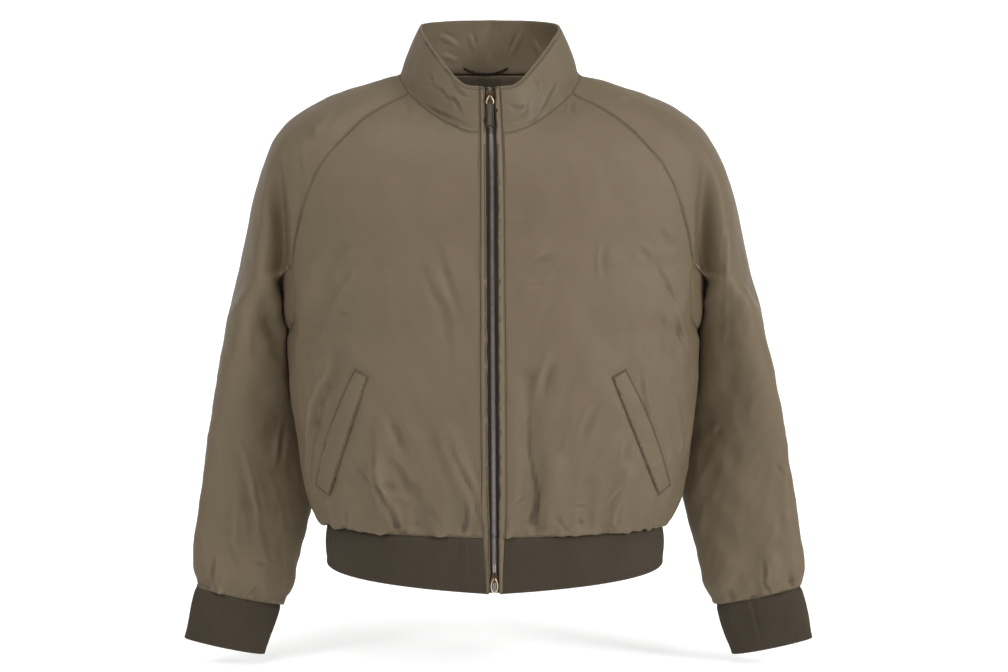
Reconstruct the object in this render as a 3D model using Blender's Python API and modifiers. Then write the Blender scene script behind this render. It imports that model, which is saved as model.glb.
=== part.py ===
# Raglan bomber jacket, filled out and hollow: shell panels, rib bands, stand collar, two-way zip.
# The cloth is one skin of patches that share their seam points. Every patch is then thickened on
# its own, with its edges drawn back by half a seam gap. Tables are in millimetres and are turned
# to metres at the end. +Z is up, the front faces -Y and the wearer's left is at +X.

import math

import bmesh
import bpy
from mathutils import Matrix, Vector
from mathutils.bvhtree import BVHTree

MM = 0.001
COLLECTION = "bomber_jacket"

# Driving dimensions, mm.
SEAM_GAP = 0.3
SHELL_WALL = 2.0
COLLAR_WALL = 3.0
RIB_WALL = 2.8
LINING_WALL = 1.0
TAPE_WALL = 1.0
WELT_WALL = 2.0
LAY_GAP = 0.6
WELT_GAP = 1.0
PLACKET_EDGE = 6.6
GUSSET_BULGE = 0.5
BODY_FULLNESS = 0.60

# Grid counts.
FRONT_COLUMNS = 14
BACK_COLUMNS = 20
SLEEVE_COLUMNS = 16
GUSSET_ROWS = 4
COLLAR_ROWS = 4
RIB_ROWS = 3
LINING_ROWS = 4
LINING_REACH = 6
LABEL_ROWS = 2
LABEL_COLUMNS = 3
LOOP_COLUMNS = 10
OVAL_STEPS = 360
RAY_START = -400.0


def table(columns, *rows):
    # Rows of numbers with named columns.
    names = columns.split()
    return [dict(zip(names, row)) for row in rows]


# Side seam from the hem up to the gusset, with the centre front and centre back of each level.
SIDE = table(
    "steps x y z front_y front_z back_y back_z",
    (1, 208.5, 4, -551, -108, -555, 97, -556),
    (1, 218, 4, -555, -110, -551, 104, -552),
    (1, 227, 5, -542, -112, -539, 108, -539),
    (2, 235, 5, -522, -114, -521, 110, -521),
    (2, 242, 6, -490, -116, -490, 112, -490),
    (2, 247, 6, -448, -118, -448, 114, -448),
    (3, 255, 6, -395, -119, -395, 116, -395),
    (0, 258, 5, -321, -119, -321, 118, -321),
)

# Lower gusset edges, from the side seam's top to the two raglan seams.
GUSSET_FRONT = table(
    "x y z turn centre_y centre_z",
    (258, 5, -321, 90, -119, -321),
    (241, -48, -290, 62, -119, -292),
    (240, -54, -258, 52, -118, -262),
    (247, -42, -226, 55, -117, -236),
)
GUSSET_BACK = table(
    "x y z turn centre_y centre_z",
    (258, 5, -321, 90, 118, -321),
    (246, 50, -290, 62, 119, -292),
    (243, 58, -258, 54, 119, -262),
    (243, 60, -230, 52, 119, -236),
)

# Raglan seams from the neck to the underarm: the seam's direction in plan, its rise, and the
# centre line at the same row.
FRONT_RAGLAN = table(
    "x y z turn rise centre_y centre_z",
    (99, -33, -20, 60, 0.55, -98, -70),
    (140, -58, -42, 34, 0.30, -106, -92),
    (165, -71, -61, 27, 0.15, -110, -107),
    (188, -78, -85, 24, 0.05, -113, -123),
    (207, -78, -109, 25, 0.0, -114, -139),
    (219, -74, -133, 28, 0.0, -115, -156),
    (229, -67, -157, 32, 0.0, -116, -174),
    (237, -59, -182, 38, 0.0, -116, -195),
    (243, -50, -205, 46, 0.0, -117, -216),
    (247, -42, -226, 55, 0.0, -117, -236),
)
BACK_RAGLAN = table(
    "x y z turn rise centre_y centre_z",
    (80, 54, 9, 41, 0.0, 82, 9),
    (118, 85, -12, 30, 0.0, 100, -26),
    (145, 99, -38, 22, 0.0, 108, -52),
    (168, 106, -66, 20, 0.0, 113, -78),
    (188, 107, -95, 22, 0.0, 115, -103),
    (204, 103, -124, 26, 0.0, 117, -128),
    (217, 96, -150, 30, 0.0, 118, -155),
    (228, 86, -178, 38, 0.0, 119, -183),
    (236, 74, -206, 45, 0.0, 119, -210),
    (243, 60, -230, 52, 0.0, 119, -236),
)

# Guide lines that run down the top of a sleeve: armpit crest, valley behind it, front, crown,
# back and the back hollow, one point for each raglan row and one at the underarm point.
CREST = table(
    "x y z",
    (104, -23, -12),
    (144, -46, -28),
    (176, -57, -43),
    (208, -64, -62),
    (234, -63, -85),
    (249, -57, -107),
    (249, -56, -136),
    (247, -55, -167),
    (248, -48, -199),
    (252, -34, -229),
    (267, -12, -254),
)
VALLEY = table(
    "x y z",
    (107, -17, -7),
    (147, -36, -21),
    (181, -45, -35),
    (215, -51, -53),
    (242, -49, -76),
    (257, -42, -99),
    (258, -35, -131),
    (256, -27, -165),
    (256, -19, -202),
    (260, -15, -233),
    (272, -31, -252),
)
FRONT_LINE = table(
    "x y z",
    (109, -11, -2),
    (149, -24, -14),
    (185, -30, -27),
    (221, -33, -44),
    (250, -31, -66),
    (267, -31, -91),
    (274, -34, -126),
    (279, -37, -162),
    (283, -40, -203),
    (286, -42, -232),
    (291, -43, -252),
)
CROWN = table(
    "x y z",
    (110, -2, 4),
    (150, 2, -5.5),
    (188, 8, -17.5),
    (227, 11, -35),
    (257, 13, -56),
    (276, 16, -82),
    (292, 21, -117),
    (305, 30, -158),
    (317, 37, -210),
    (323, 38, -238),
    (329, 36, -262),
)
BACK_LINE = table(
    "x y z",
    (103, 24, 6),
    (143, 52, -4),
    (178, 64, -19),
    (214, 71, -40),
    (242, 76, -66),
    (263, 80, -96),
    (277, 86, -130),
    (286, 92, -168),
    (291, 99, -210),
    (292, 103, -240),
    (290, 106, -262),
)
BACK_HOLLOW = table(
    "x y z",
    (93, 41, 8),
    (132, 71, -7),
    (163, 86, -27),
    (193, 93, -52),
    (217, 98, -80),
    (236, 99, -110),
    (249, 98, -141),
    (257, 96, -174),
    (262, 94, -208),
    (263, 91, -238),
    (259, 76, -260),
)
# Where each guide lies on the way from the front seam to the back seam.
STATIONS = (0.0, 0.13, 0.21, 0.32, 0.53, 0.76, 0.88, 1.0)
UNDERARM = (268, 12, -256)
CAP_STEPS = (2, 2, 2, 1, 1, 1, 2, 2, 1, GUSSET_ROWS)

# Oval sections of the hanging sleeve: centre, half lengths, lean of the long axis from +Y
# towards the body, and the tilt that lifts the outer side.
RINGS = table(
    "steps z x y long short lean tilt",
    (1, -290, 299.5, 34, 77, 34, 7, 0),
    (2, -318, 298.5, 37, 80, 36, 14, 0),
    (2, -360, 298.5, 42, 82, 40, 24, 0),
    (2, -404, 298.5, 48, 81, 41, 37, 0),
    (2, -448, 297.5, 50, 80, 37, 54, 0),
    (2, -492, 300.0, 47, 78, 31, 66, 0),
    (2, -540, 309.0, 42, 74, 27, 73, 1),
    (1, -588, 318.5, 38, 70, 26, 76, 5),
    (1, -612, 323.0, 34, 68, 26, 77, 8),
    (1, -632, 326.0, 31, 66, 24, 78, 11),
    (0, -653, 331.0, 28, 54, 16, 79, 15),
)
FIRST_RING_STEPS = 2
CUFF = table(
    "z x y long short lean tilt",
    (-653, 331.0, 28, 54, 16, 79, 15),
    (-685, 340.5, 27, 51, 15, 79, 15),
    (-718, 349.5, 26, 51, 15, 80, 14),
)

# Stand collar's upper rim, by its share of the half neck seam from the centre front.
RIM = table(
    "share x y z",
    (0.00, 12.8, -96, -14),
    (0.10, 30, -91, -11),
    (0.24, 55, -67, 15),
    (0.40, 78.5, -34, 48),
    (0.53, 86, -6, 63),
    (0.68, 79, 28, 71),
    (0.84, 46, 58, 76),
    (1.00, 0, 70, 78),
)
COLLAR_BOW = 3.0
BOW_START = 40.0

# Half the distance between the two front edges, by height.
EDGE_Z = (-630, -580, -530, -350, -100, -10)
EDGE_X = (10.2, 10.6, 13.4, 14.0, 14.4, 12.8)

# How far the hanging jacket leans sideways: the body, and the sleeves on top of that.
SWAY_Z = (-720, -640, -450, -250, -100, 0)
BODY_SWAY = (3.5, 3.5, 2.5, 1.2, 0.3, -2.5)
SLEEVE_SWAY = (4.5, 4.5, 3.0, 0.0, 0.0, 0.0)
CAP_SWAY = (0.0, 0.0, 1.0, 2.0, 1.5, 0.0)
CAP_SWAY_FROM = 270.0
CAP_SWAY_FULL = 300.0

# Hem rib: half width, front and back depth at its lower edge.
RIB_FOOT = {"x": 211.5, "y": 3, "side_z": -604, "front_y": -102, "front_z": -627, "back_y": 92,
            "back_z": -626}

# Folds of the shell: a ridge (height above 0) or a trough along a line, in X and Z.
BODY_FOLDS = table(
    "facing x0 z0 x1 z1 width height",
    (-1, -188, -347, -213, -425, 24, -4.5),
    (-1, -129, -413, -140, -486, 22, 3.0),
    (-1, -142, -478, -119, -541, 20, 6.0),
    (-1, -98, -500, -92, -538, 18, -3.5),
    (-1, -54, -431, -20, -528, 22, 4.5),
    (-1, -179, -505, -179, -540, 18, 4.5),
    (-1, 44, -365, 50, -540, 20, -5.0),
    (-1, 76, -470, 68, -538, 20, 4.5),
    (-1, 118, -495, 116, -538, 18, -3.5),
    (-1, 167, -485, 150, -540, 20, 6.0),
    (-1, 198, -236, 219, -274, 22, -3.0),
    (-1, 205, -300, 228, -330, 22, -3.0),
    (-1, -205, -255, -220, -300, 22, -3.0),
    (-1, 90, -300, 160, -400, 34, 2.5),
    (-1, -70, -260, -140, -360, 34, 2.5),
    (1, -170, -470, -160, -540, 22, 5.0),
    (1, -122, -490, -122, -540, 20, -4.0),
    (1, -75, -450, -70, -540, 22, 4.5),
    (1, -20, -490, -24, -540, 20, -4.0),
    (1, 40, -440, 34, -540, 22, 5.0),
    (1, 95, -495, 98, -540, 20, -4.0),
    (1, 150, -460, 142, -540, 22, 5.0),
    (1, 200, -250, 120, -330, 30, -4.0),
    (1, -205, -240, -110, -300, 30, -4.0),
    (1, 60, -300, -80, -380, 32, 3.0),
)
SLEEVE_FOLDS = table(
    "facing x0 z0 x1 z1 width height",
    (-1, 300, -150, 306, -320, 24, 3.0),
    (-1, 338, -330, 290, -395, 28, -5.0),
    (-1, 362, -420, 305, -465, 28, -5.0),
    (-1, 300, -500, 368, -555, 28, 4.0),
    (-1, 285, -565, 340, -605, 26, -4.0),
    (-1, 298, -610, 292, -640, 20, 3.5),
    (-1, 350, -605, 347, -640, 18, 4.0),
    (1, 330, -300, 272, -370, 30, -5.0),
    (1, 282, -420, 352, -475, 30, 4.5),
    (1, 356, -520, 292, -575, 28, -4.5),
    (1, 340, -595, 335, -635, 20, 4.0),
    (1, 300, -615, 303, -645, 18, 3.5),
)

# Slanted pocket welts: corners from the top inner one, by side of the body.
WELTS = table(
    "side top_in_x top_in_z top_out_x top_out_z foot_out_x foot_out_z foot_in_x foot_in_z",
    (-1, -148, -362, -165, -353, -212, -498, -197, -506),
    (1, 144, -362, 162, -353, 215, -497, 203, -506),
)
WELT_ROWS = 12
WELT_COLUMNS = 2

# Zip, mm from the centre line.
CHAIN_HALF = 3.2
TAPE_INNER = 3.6
TAPE_OUTER = 9.4
CHAIN_THICK = 2.0
CHAIN_SET = 0.9
STRIP_FINE_ABOVE = -120.0
STRIP_FINE_BELOW = -530.0
SLIDER_HALF = 5.6
SLIDER_LENGTH = 14.0
SLIDER_THICK = 2.2
BAIL_HALF = 1.3
BAIL_GAP = 3.6
BAIL_BAR = 1.2
BAIL_LENGTH = 8.0
LINK_WIRE = 0.9
LINK_CORNER = 0.35
LINK_HALF = 2.9
LINK_LENGTH = 9.0
STRAP_HALF = 4.2
STRAP_LENGTH = 27.0
STRAP_THICK = 2.0
STRAP_BEVEL = 0.7
RING_LENGTH = 17.0
TOP_SLIDER_Z = -26.0
BOTTOM_SLIDER_Z = -606.0

LABEL = {"x0": -14.0, "x1": 5.0, "z0": -14.0, "z1": 1.0}
LOOP = {"x0": -37.0, "x1": 20.0, "top": 18.5, "sag": 4.0, "height": 4.5, "thick": 1.2}
EYELETS = ((263.0, -12.0, -260.0), (260.0, -14.0, -268.0))
EYELET_RADIUS = 2.6
EYELET_TUBE = 0.7

SHELL = ("shell_twill", "6B6050", 0.62, 0.0)
RIB = ("rib_knit", "423B2F", 0.85, 0.0)
LINING = ("lining_twill", "5E5244", 0.6, 0.0)
TAPE = ("zip_tape", "2E2922", 0.8, 0.0)
METAL = ("antique_brass", "8F8468", 0.35, 1.0)
LABEL_CLOTH = ("label_cloth", "6A6A58", 0.7, 0.0)


# ---- curves and rows ---------------------------------------------------------------------

def limited_slope(before, after):
    if before * after <= 0:
        return 0.0
    steepest = 3.0 * min(abs(before), abs(after))
    return max(-steepest, min(steepest, 0.5 * (before + after)))


def smooth(values, at, stops=None):
    # A monotone cubic through values at 0, 1, 2... or at the given stops.
    if stops is None:
        stops = range(len(values))
    last = len(values) - 1
    low = 0
    while low < last - 1 and at > stops[low + 1]:
        low += 1
    gaps = [stops[i + 1] - stops[i] for i in range(last)]
    rates = [(values[i + 1] - values[i]) / gaps[i] for i in range(last)]
    slopes = [rates[0]]
    slopes += [limited_slope(rates[i - 1], rates[i]) for i in range(1, last)]
    slopes.append(rates[-1])
    span = gaps[low]
    t = (at - stops[low]) / span
    return (
        values[low] * (1 + 2 * t) * (1 - t) ** 2
        + slopes[low] * span * t * (1 - t) ** 2
        + values[low + 1] * t * t * (3 - 2 * t)
        + slopes[low + 1] * span * t * t * (t - 1)
    )


def smooth_point(points, at, stops=None):
    return Vector([smooth([point[axis] for point in points], at, stops) for axis in range(3)])


def read(rows, name, at):
    return smooth([row[name] for row in rows], at)


def place(rows, at):
    return Vector([read(rows, name, at) for name in ("x", "y", "z")])


def stops_of(steps):
    # Row positions 0, 1, 2... with the stated number of grid rows between them.
    stops = []
    for index, count in enumerate(steps):
        stops += [index + part / count for part in range(count)]
    return stops + [float(len(steps))]


def panel_row(start, end, turn, rise, columns):
    # Leaves the centre line along X and meets the seam at the angle `turn` in plan.
    angle = math.radians(turn)
    depth = end.y - start.y
    end_reach = abs(depth) / math.sin(angle)
    start_reach = end.x - start.x - end_reach * math.cos(angle)
    heading = Vector((math.cos(angle), math.copysign(math.sin(angle), depth), rise))
    first = start + Vector((BODY_FULLNESS * start_reach, 0, 0))
    last = end - BODY_FULLNESS * end_reach * heading
    if rise == 0:
        first.z = start.z + (end.z - start.z) / 3
        last.z = start.z + (end.z - start.z) * 2 / 3
    row = []
    for column in range(columns + 1):
        t = column / columns
        point = start * (1 - t) ** 3 + first * 3 * t * (1 - t) ** 2
        point = point + last * 3 * t * t * (1 - t) + end * t ** 3
        row.append(point)
    return row


def oval(row, columns):
    # One sleeve section, from its innermost point by the front, in even steps of length.
    lean = math.radians(row["lean"])
    along = Vector((-math.sin(lean), math.cos(lean), 0))
    across = Vector((-math.cos(lean), -math.sin(lean), 0))
    centre = Vector((row["x"], row["y"], row["z"]))
    slope = math.tan(math.radians(row["tilt"]))
    loop = []
    for step in range(OVAL_STEPS):
        angle = 2 * math.pi * step / OVAL_STEPS
        offset = along * row["long"] * math.cos(angle) + across * row["short"] * math.sin(angle)
        offset.z = offset.x * slope
        loop.append(centre + offset)
    inner = min(range(OVAL_STEPS), key=lambda step: loop[step].x)
    loop = loop[inner:] + loop[:inner + 1]
    return even(loop, columns)


def even(points, parts):
    lengths = [0.0]
    for here, there in zip(points, points[1:]):
        lengths.append(lengths[-1] + (there - here).length)
    result = []
    index = 0
    for part in range(parts + 1):
        target = lengths[-1] * part / parts
        while index < len(points) - 2 and lengths[index + 1] < target:
            index += 1
        share = (target - lengths[index]) / (lengths[index + 1] - lengths[index])
        result.append(points[index].lerp(points[index + 1], share))
    return result


def straighten(row):
    # Odd points go to the middle of their neighbours, so that a coarser row meets this one.
    for column in range(1, len(row) - 1, 2):
        row[column] = (row[column - 1] + row[column + 1]) / 2


def edge_at(height):
    return smooth(EDGE_X, max(EDGE_Z[0], min(EDGE_Z[-1], height)), EDGE_Z)


def mirrored(row):
    return [Vector((-point.x, point.y, point.z)) for point in row]


def swayed(row, sleeve=False):
    moved = []
    for point in row:
        level = max(SWAY_Z[0], min(SWAY_Z[-1], point.z))
        shift = smooth(BODY_SWAY, level, SWAY_Z)
        if sleeve:
            shift += smooth(SLEEVE_SWAY, level, SWAY_Z)
            weight = (abs(point.x) - CAP_SWAY_FROM) / (CAP_SWAY_FULL - CAP_SWAY_FROM)
            shift += smooth(CAP_SWAY, level, SWAY_Z) * max(0.0, min(1.0, weight))
        moved.append(point + Vector((shift, 0, 0)))
    return moved


# ---- the right half of the pattern -------------------------------------------------------

def sleeve_rows():
    guides = [FRONT_RAGLAN, CREST, VALLEY, FRONT_LINE, CROWN, BACK_LINE, BACK_HOLLOW, BACK_RAGLAN]
    underarm = Vector(UNDERARM)
    keys = []
    for level in range(len(CREST)):
        points = []
        for guide in guides:
            if level < len(guide):
                row = guide[level]
                points.append(Vector((row["x"], row["y"], row["z"])))
            else:
                points.append(underarm)
        shares = [column / SLEEVE_COLUMNS for column in range(SLEEVE_COLUMNS + 1)]
        keys.append([smooth_point(points, share, STATIONS) for share in shares])
    keys += [oval(row, SLEEVE_COLUMNS) for row in RINGS]
    steps = list(CAP_STEPS) + [FIRST_RING_STEPS] + [row["steps"] for row in RINGS[:-1]]
    rows = []
    for stop in stops_of(steps):
        row = []
        for column in range(SLEEVE_COLUMNS + 1):
            row.append(smooth_point([key[column] for key in keys], stop))
        if stop >= len(CAP_STEPS):
            row[-1] = row[0].copy()
        rows.append(row)
    straighten(rows[0])
    return rows


def body_rows(sleeve, front):
    # Rows of the right front, or of the back's right half, from the hem to the neck.
    start_x = edge_at if front else (lambda height: 0.0)
    columns = FRONT_COLUMNS if front else BACK_COLUMNS // 2
    word = "front" if front else "back"
    gusset = GUSSET_FRONT if front else GUSSET_BACK
    raglan = FRONT_RAGLAN if front else BACK_RAGLAN
    rows = []
    for stop in stops_of([row["steps"] for row in SIDE[:-1]]):
        height = read(SIDE, word + "_z", stop)
        start = Vector((start_x(height), read(SIDE, word + "_y", stop), height))
        rows.append(panel_row(start, place(SIDE, stop), 90, 0, columns))
    for step in range(1, GUSSET_ROWS + 1):
        stop = (len(gusset) - 1) * step / GUSSET_ROWS
        height = read(gusset, "centre_z", stop)
        start = Vector((start_x(height), read(gusset, "centre_y", stop), height))
        rows.append(panel_row(start, place(gusset, stop), read(gusset, "turn", stop), 0, columns))
    cap_stops = stops_of(CAP_STEPS[:-1])
    for index in reversed(range(len(cap_stops) - 1)):
        stop = cap_stops[index]
        height = read(raglan, "centre_z", stop)
        start = Vector((start_x(height), read(raglan, "centre_y", stop), height))
        seam = sleeve[index][0 if front else -1]
        turn = read(raglan, "turn", stop)
        rows.append(panel_row(start, seam, turn, read(raglan, "rise", stop), columns))
    corner = len(rows) - len(cap_stops)
    rows[corner][-1] = sleeve[len(cap_stops) - 1][0 if front else -1].copy()
    straighten(rows[-1])
    return rows


def gusset_rows(front, back, sleeve):
    # A four-sided patch between its lower edges on the body and its upper edges on the sleeve.
    bottom = sum(row["steps"] for row in SIDE)
    top = sum(CAP_STEPS[:-1])
    counts = range(GUSSET_ROWS + 1)
    front_low = [front[bottom + step][-1] for step in counts]
    back_low = [back[bottom + step][-1] for step in counts]
    front_high = [sleeve[top + step][0] for step in counts]
    back_high = [sleeve[top + step][-1] for step in counts]
    rows = []
    for i in counts:
        u = i / GUSSET_ROWS
        row = []
        for j in counts:
            v = j / GUSSET_ROWS
            ruled = front_low[j] * (1 - u) + back_high[j] * u
            ruled = ruled + back_low[i] * (1 - v) + front_high[i] * v
            lower = front_low[0] * (1 - u) + back_low[-1] * u
            upper = front_low[-1] * (1 - u) + front_high[-1] * u
            row.append(ruled - lower * (1 - v) - upper * v)
        rows.append(row)
    # The patch rounds the body's side: its middle line runs straight up to the underarm.
    bent = [[point.copy() for point in row] for row in rows]
    for i in range(1, GUSSET_ROWS):
        for j in range(1, GUSSET_ROWS):
            share = (i + j) / (2 * GUSSET_ROWS)
            at = share * GUSSET_ROWS
            low = rows[math.floor(at)][math.floor(at)]
            high = rows[math.ceil(at)][math.ceil(at)]
            sunk = low.lerp(high, at - math.floor(at))
            target = front_low[0].lerp(front_high[-1], share)
            target.x += GUSSET_BULGE * 4 * share * (1 - share)
            weight = i * j * (GUSSET_ROWS - i) * (GUSSET_ROWS - j)
            weight = weight / (at * at * (GUSSET_ROWS - at) ** 2)
            bent[i][j] = rows[i][j] + (target - sunk) * weight
    return bent


def collar_rows(seam):
    # From the half neck seam up to the rim, with a slight bow outwards.
    lengths = [0.0]
    for here, there in zip(seam, seam[1:]):
        lengths.append(lengths[-1] + (there - here).length)
    stops = [row["share"] for row in RIM]
    rim = [Vector((row["x"], row["y"], row["z"])) for row in RIM]
    rows = [seam]
    for level in range(1, COLLAR_ROWS + 1):
        share = level / COLLAR_ROWS
        row = []
        for point, length in zip(seam, lengths):
            top = smooth_point(rim, length / lengths[-1], stops)
            outward = Vector((point.x, point.y, 0)).normalized()
            bow = COLLAR_BOW * 4 * share * (1 - share) * min(1.0, length / BOW_START)
            row.append(point.lerp(top, share) + outward * bow)
        rows.append(row)
    return rows


def rib_rows(seam):
    # From the rib's foot up to the half hem seam: the front first, then the back.
    foot = RIB_FOOT
    middle = Vector((foot["x"], foot["y"], foot["side_z"]))
    front_start = Vector((edge_at(foot["front_z"]), foot["front_y"], foot["front_z"]))
    back_start = Vector((0, foot["back_y"], foot["back_z"]))
    low = panel_row(front_start, middle, 90, 0, FRONT_COLUMNS)
    low += panel_row(back_start, middle, 90, 0, BACK_COLUMNS // 2)[::-1][1:]
    rows = []
    for level in range(RIB_ROWS + 1):
        rows.append([a.lerp(b, level / RIB_ROWS) for a, b in zip(low, seam)])
    return rows


# ---- the skin ----------------------------------------------------------------------------

class Skin:
    # Patches of faces over one list of points; equal points are one point.
    def __init__(self):
        self.points = []
        self.cells = {}
        self.patches = {}
        self.middles = []

    def index(self, point):
        cell = [math.floor(value * 20) for value in point]
        for a in (-1, 0, 1):
            for b in (-1, 0, 1):
                for c in (-1, 0, 1):
                    for other in self.cells.get((cell[0] + a, cell[1] + b, cell[2] + c), ()):
                        if (self.points[other] - point).length < 0.01:
                            return other
        self.points.append(point.copy())
        self.cells.setdefault(tuple(cell), []).append(len(self.points) - 1)
        return len(self.points) - 1

    def add(self, name, rows, flip):
        ids = [[self.index(point) for point in row] for row in rows]
        faces = []
        for lower, upper in zip(ids, ids[1:]):
            for j in range(len(lower) - 1):
                corners = [lower[j], lower[j + 1], upper[j + 1], upper[j]]
                ring = [corner for k, corner in enumerate(corners) if corner != corners[k - 1]]
                if flip:
                    ring.reverse()
                faces.append(ring)
        self.patches[name] = {"ids": ids, "faces": faces}

    def note_middles(self, ids):
        for column in range(1, len(ids) - 1, 2):
            self.middles.append((ids[column], ids[column - 1], ids[column + 1]))

    def normals(self):
        sums = [Vector((0, 0, 0)) for point in self.points]
        for patch in self.patches.values():
            for face in patch["faces"]:
                normal = Vector((0, 0, 0))
                for here, there in zip(face, face[1:] + face[:1]):
                    normal = normal + self.points[here].cross(self.points[there])
                for corner in face:
                    sums[corner] += normal
        result = [total.normalized() for total in sums]
        for middle, before, after in self.middles:
            result[middle] = (result[before] + result[after]).normalized()
        return result


def fold_height(folds, point, normal, side):
    total = 0.0
    for fold in folds:
        facing = fold["facing"] * normal.y
        if facing <= 0:
            continue
        ax = fold["x0"] * side
        bx = fold["x1"] * side
        run = Vector((bx - ax, fold["z1"] - fold["z0"]))
        reach = Vector((point.x - ax, point.z - fold["z0"]))
        share = max(0.0, min(1.0, reach.dot(run) / run.length_squared))
        away = (reach - run * share).length
        if away < fold["width"]:
            bell = 0.5 + 0.5 * math.cos(math.pi * away / fold["width"])
            total += fold["height"] * bell * min(1.0, facing * 2)
    return total


def crease(skin):
    # Folds lift or sink the points inside the patches; the seams stay where they are.
    uses = {}
    for name, patch in skin.patches.items():
        for corner in {corner for face in patch["faces"] for corner in face}:
            uses.setdefault(corner, []).append(name)
    normals = skin.normals()
    for corner, names in uses.items():
        if len(names) > 1:
            continue
        point = skin.points[corner]
        if names[0] in ("front_left", "front_right", "back"):
            height = fold_height(BODY_FOLDS, point, normals[corner], 1)
        elif names[0] in ("sleeve_left", "sleeve_right"):
            side = 1 if names[0] == "sleeve_right" else -1
            height = fold_height(SLEEVE_FOLDS, point, normals[corner], side)
        else:
            continue
        skin.points[corner] = point + normals[corner] * height


# ---- solids ------------------------------------------------------------------------------

def material(spec):
    name, code, roughness, metallic = spec
    found = bpy.data.materials.get(name)
    if found:
        return found
    made = bpy.data.materials.new(name)
    made.use_nodes = True
    shader = made.node_tree.nodes["Principled BSDF"]
    channels = [int(code[i:i + 2], 16) / 255 for i in (0, 2, 4)]
    linear = [c / 12.92 if c <= 0.04045 else ((c + 0.055) / 1.055) ** 2.4 for c in channels]
    shader.inputs["Base Color"].default_value = (*linear, 1.0)
    shader.inputs["Roughness"].default_value = roughness
    shader.inputs["Metallic"].default_value = metallic
    return made


def keep(name, mesh_source, spec, collection, at=None):
    # A bmesh in millimetres becomes an object in metres, its origin at `at`.
    origin = Vector((0, 0, 0)) if at is None else at
    for vertex in mesh_source.verts:
        vertex.co = (vertex.co - origin) * MM
    bmesh.ops.recalc_face_normals(mesh_source, faces=mesh_source.faces[:])
    mesh = bpy.data.meshes.new(name)
    mesh_source.to_mesh(mesh)
    mesh_source.free()
    mesh.materials.append(material(spec))
    thing = bpy.data.objects.new(name, mesh)
    thing.location = origin * MM
    collection.objects.link(thing)
    return thing


def edge_shifts(work, facing):
    # How far each border point is drawn back to leave half the seam gap. It moves square to the
    # seam and to the normal that both sides share, so that sharp seams keep their gap too.
    inward = {}
    for edge in work.edges:
        if not edge.is_boundary:
            continue
        start, end = edge.verts
        run = (end.co - start.co).normalized()
        side = (facing[start] + facing[end]).cross(run).normalized()
        middle = edge.link_faces[0].calc_center_median()
        if (middle - start.co).dot(side) < 0:
            side = -side
        inward.setdefault(start, []).append(side)
        inward.setdefault(end, []).append(side)
    shifts = {}
    for vertex, sides in inward.items():
        total = sum(sides, Vector((0, 0, 0)))
        if len(sides) == 2:
            total = total / max(0.4, 1 + sides[0].dot(sides[1]))
        shifts[vertex] = total * SEAM_GAP / 2
    return shifts


def split(points, face):
    # A four-sided face becomes two along its shorter diagonal, the same for every offset of it.
    if len(face) < 4:
        return [face]
    a, b, c, d = face
    if (points[a] - points[c]).length <= (points[b] - points[d]).length:
        return [[a, b, c], [a, c, d]]
    return [[a, b, d], [b, c, d]]


def thicken(points, normals, faces, outer, inner):
    # A closed wall between two offsets of an open patch, edges drawn back.
    work = bmesh.new()
    top = {}
    for corner in sorted({corner for face in faces for corner in face}):
        top[corner] = work.verts.new(points[corner])
    triangles = [part for face in faces for part in split(points, face)]
    for face in triangles:
        work.faces.new([top[corner] for corner in face])
    work.normal_update()
    facing = {vertex: normals[corner] for corner, vertex in top.items()}
    shifts = edge_shifts(work, facing)
    rim = []
    for edge in work.edges:
        if edge.is_boundary:
            rim.append(tuple(edge.verts))
    bottom = {}
    number = {}
    for corner, vertex in top.items():
        base = points[corner] + shifts.get(vertex, Vector((0, 0, 0)))
        vertex.co = base + normals[corner] * outer
        bottom[vertex] = work.verts.new(base + normals[corner] * inner)
        number[vertex] = corner
    for face in triangles:
        work.faces.new([bottom[top[corner]] for corner in reversed(face)])
    for pair in rim:
        # Both sides of a seam split their edge faces along the same diagonal.
        here, there = sorted(pair, key=lambda vertex: number[vertex])
        work.faces.new([here, there, bottom[there]])
        work.faces.new([here, bottom[there], bottom[here]])
    return work


def plate(name, rows, outer, inner, flip, spec, collection, at=None):
    # A grid of its own, thickened between two offsets from it.
    loose = Skin()
    loose.add(name, rows, flip)
    work = thicken(loose.points, loose.normals(), loose.patches[name]["faces"], outer, inner)
    return keep(name, work, spec, collection, at)


def tree_of(thing):
    verts = [thing.matrix_world @ vertex.co / MM for vertex in thing.data.vertices]
    return BVHTree.FromPolygons(verts, [tuple(face.vertices) for face in thing.data.polygons])


def from_front(tree, x, z):
    return tree.ray_cast(Vector((x, RAY_START, z)), Vector((0, 1, 0)))[0]


def from_inside(tree, x, z):
    return tree.ray_cast(Vector((x, 0, z)), Vector((0, 1, 0)))[0]


# ---- pieces ------------------------------------------------------------------------------

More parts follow.
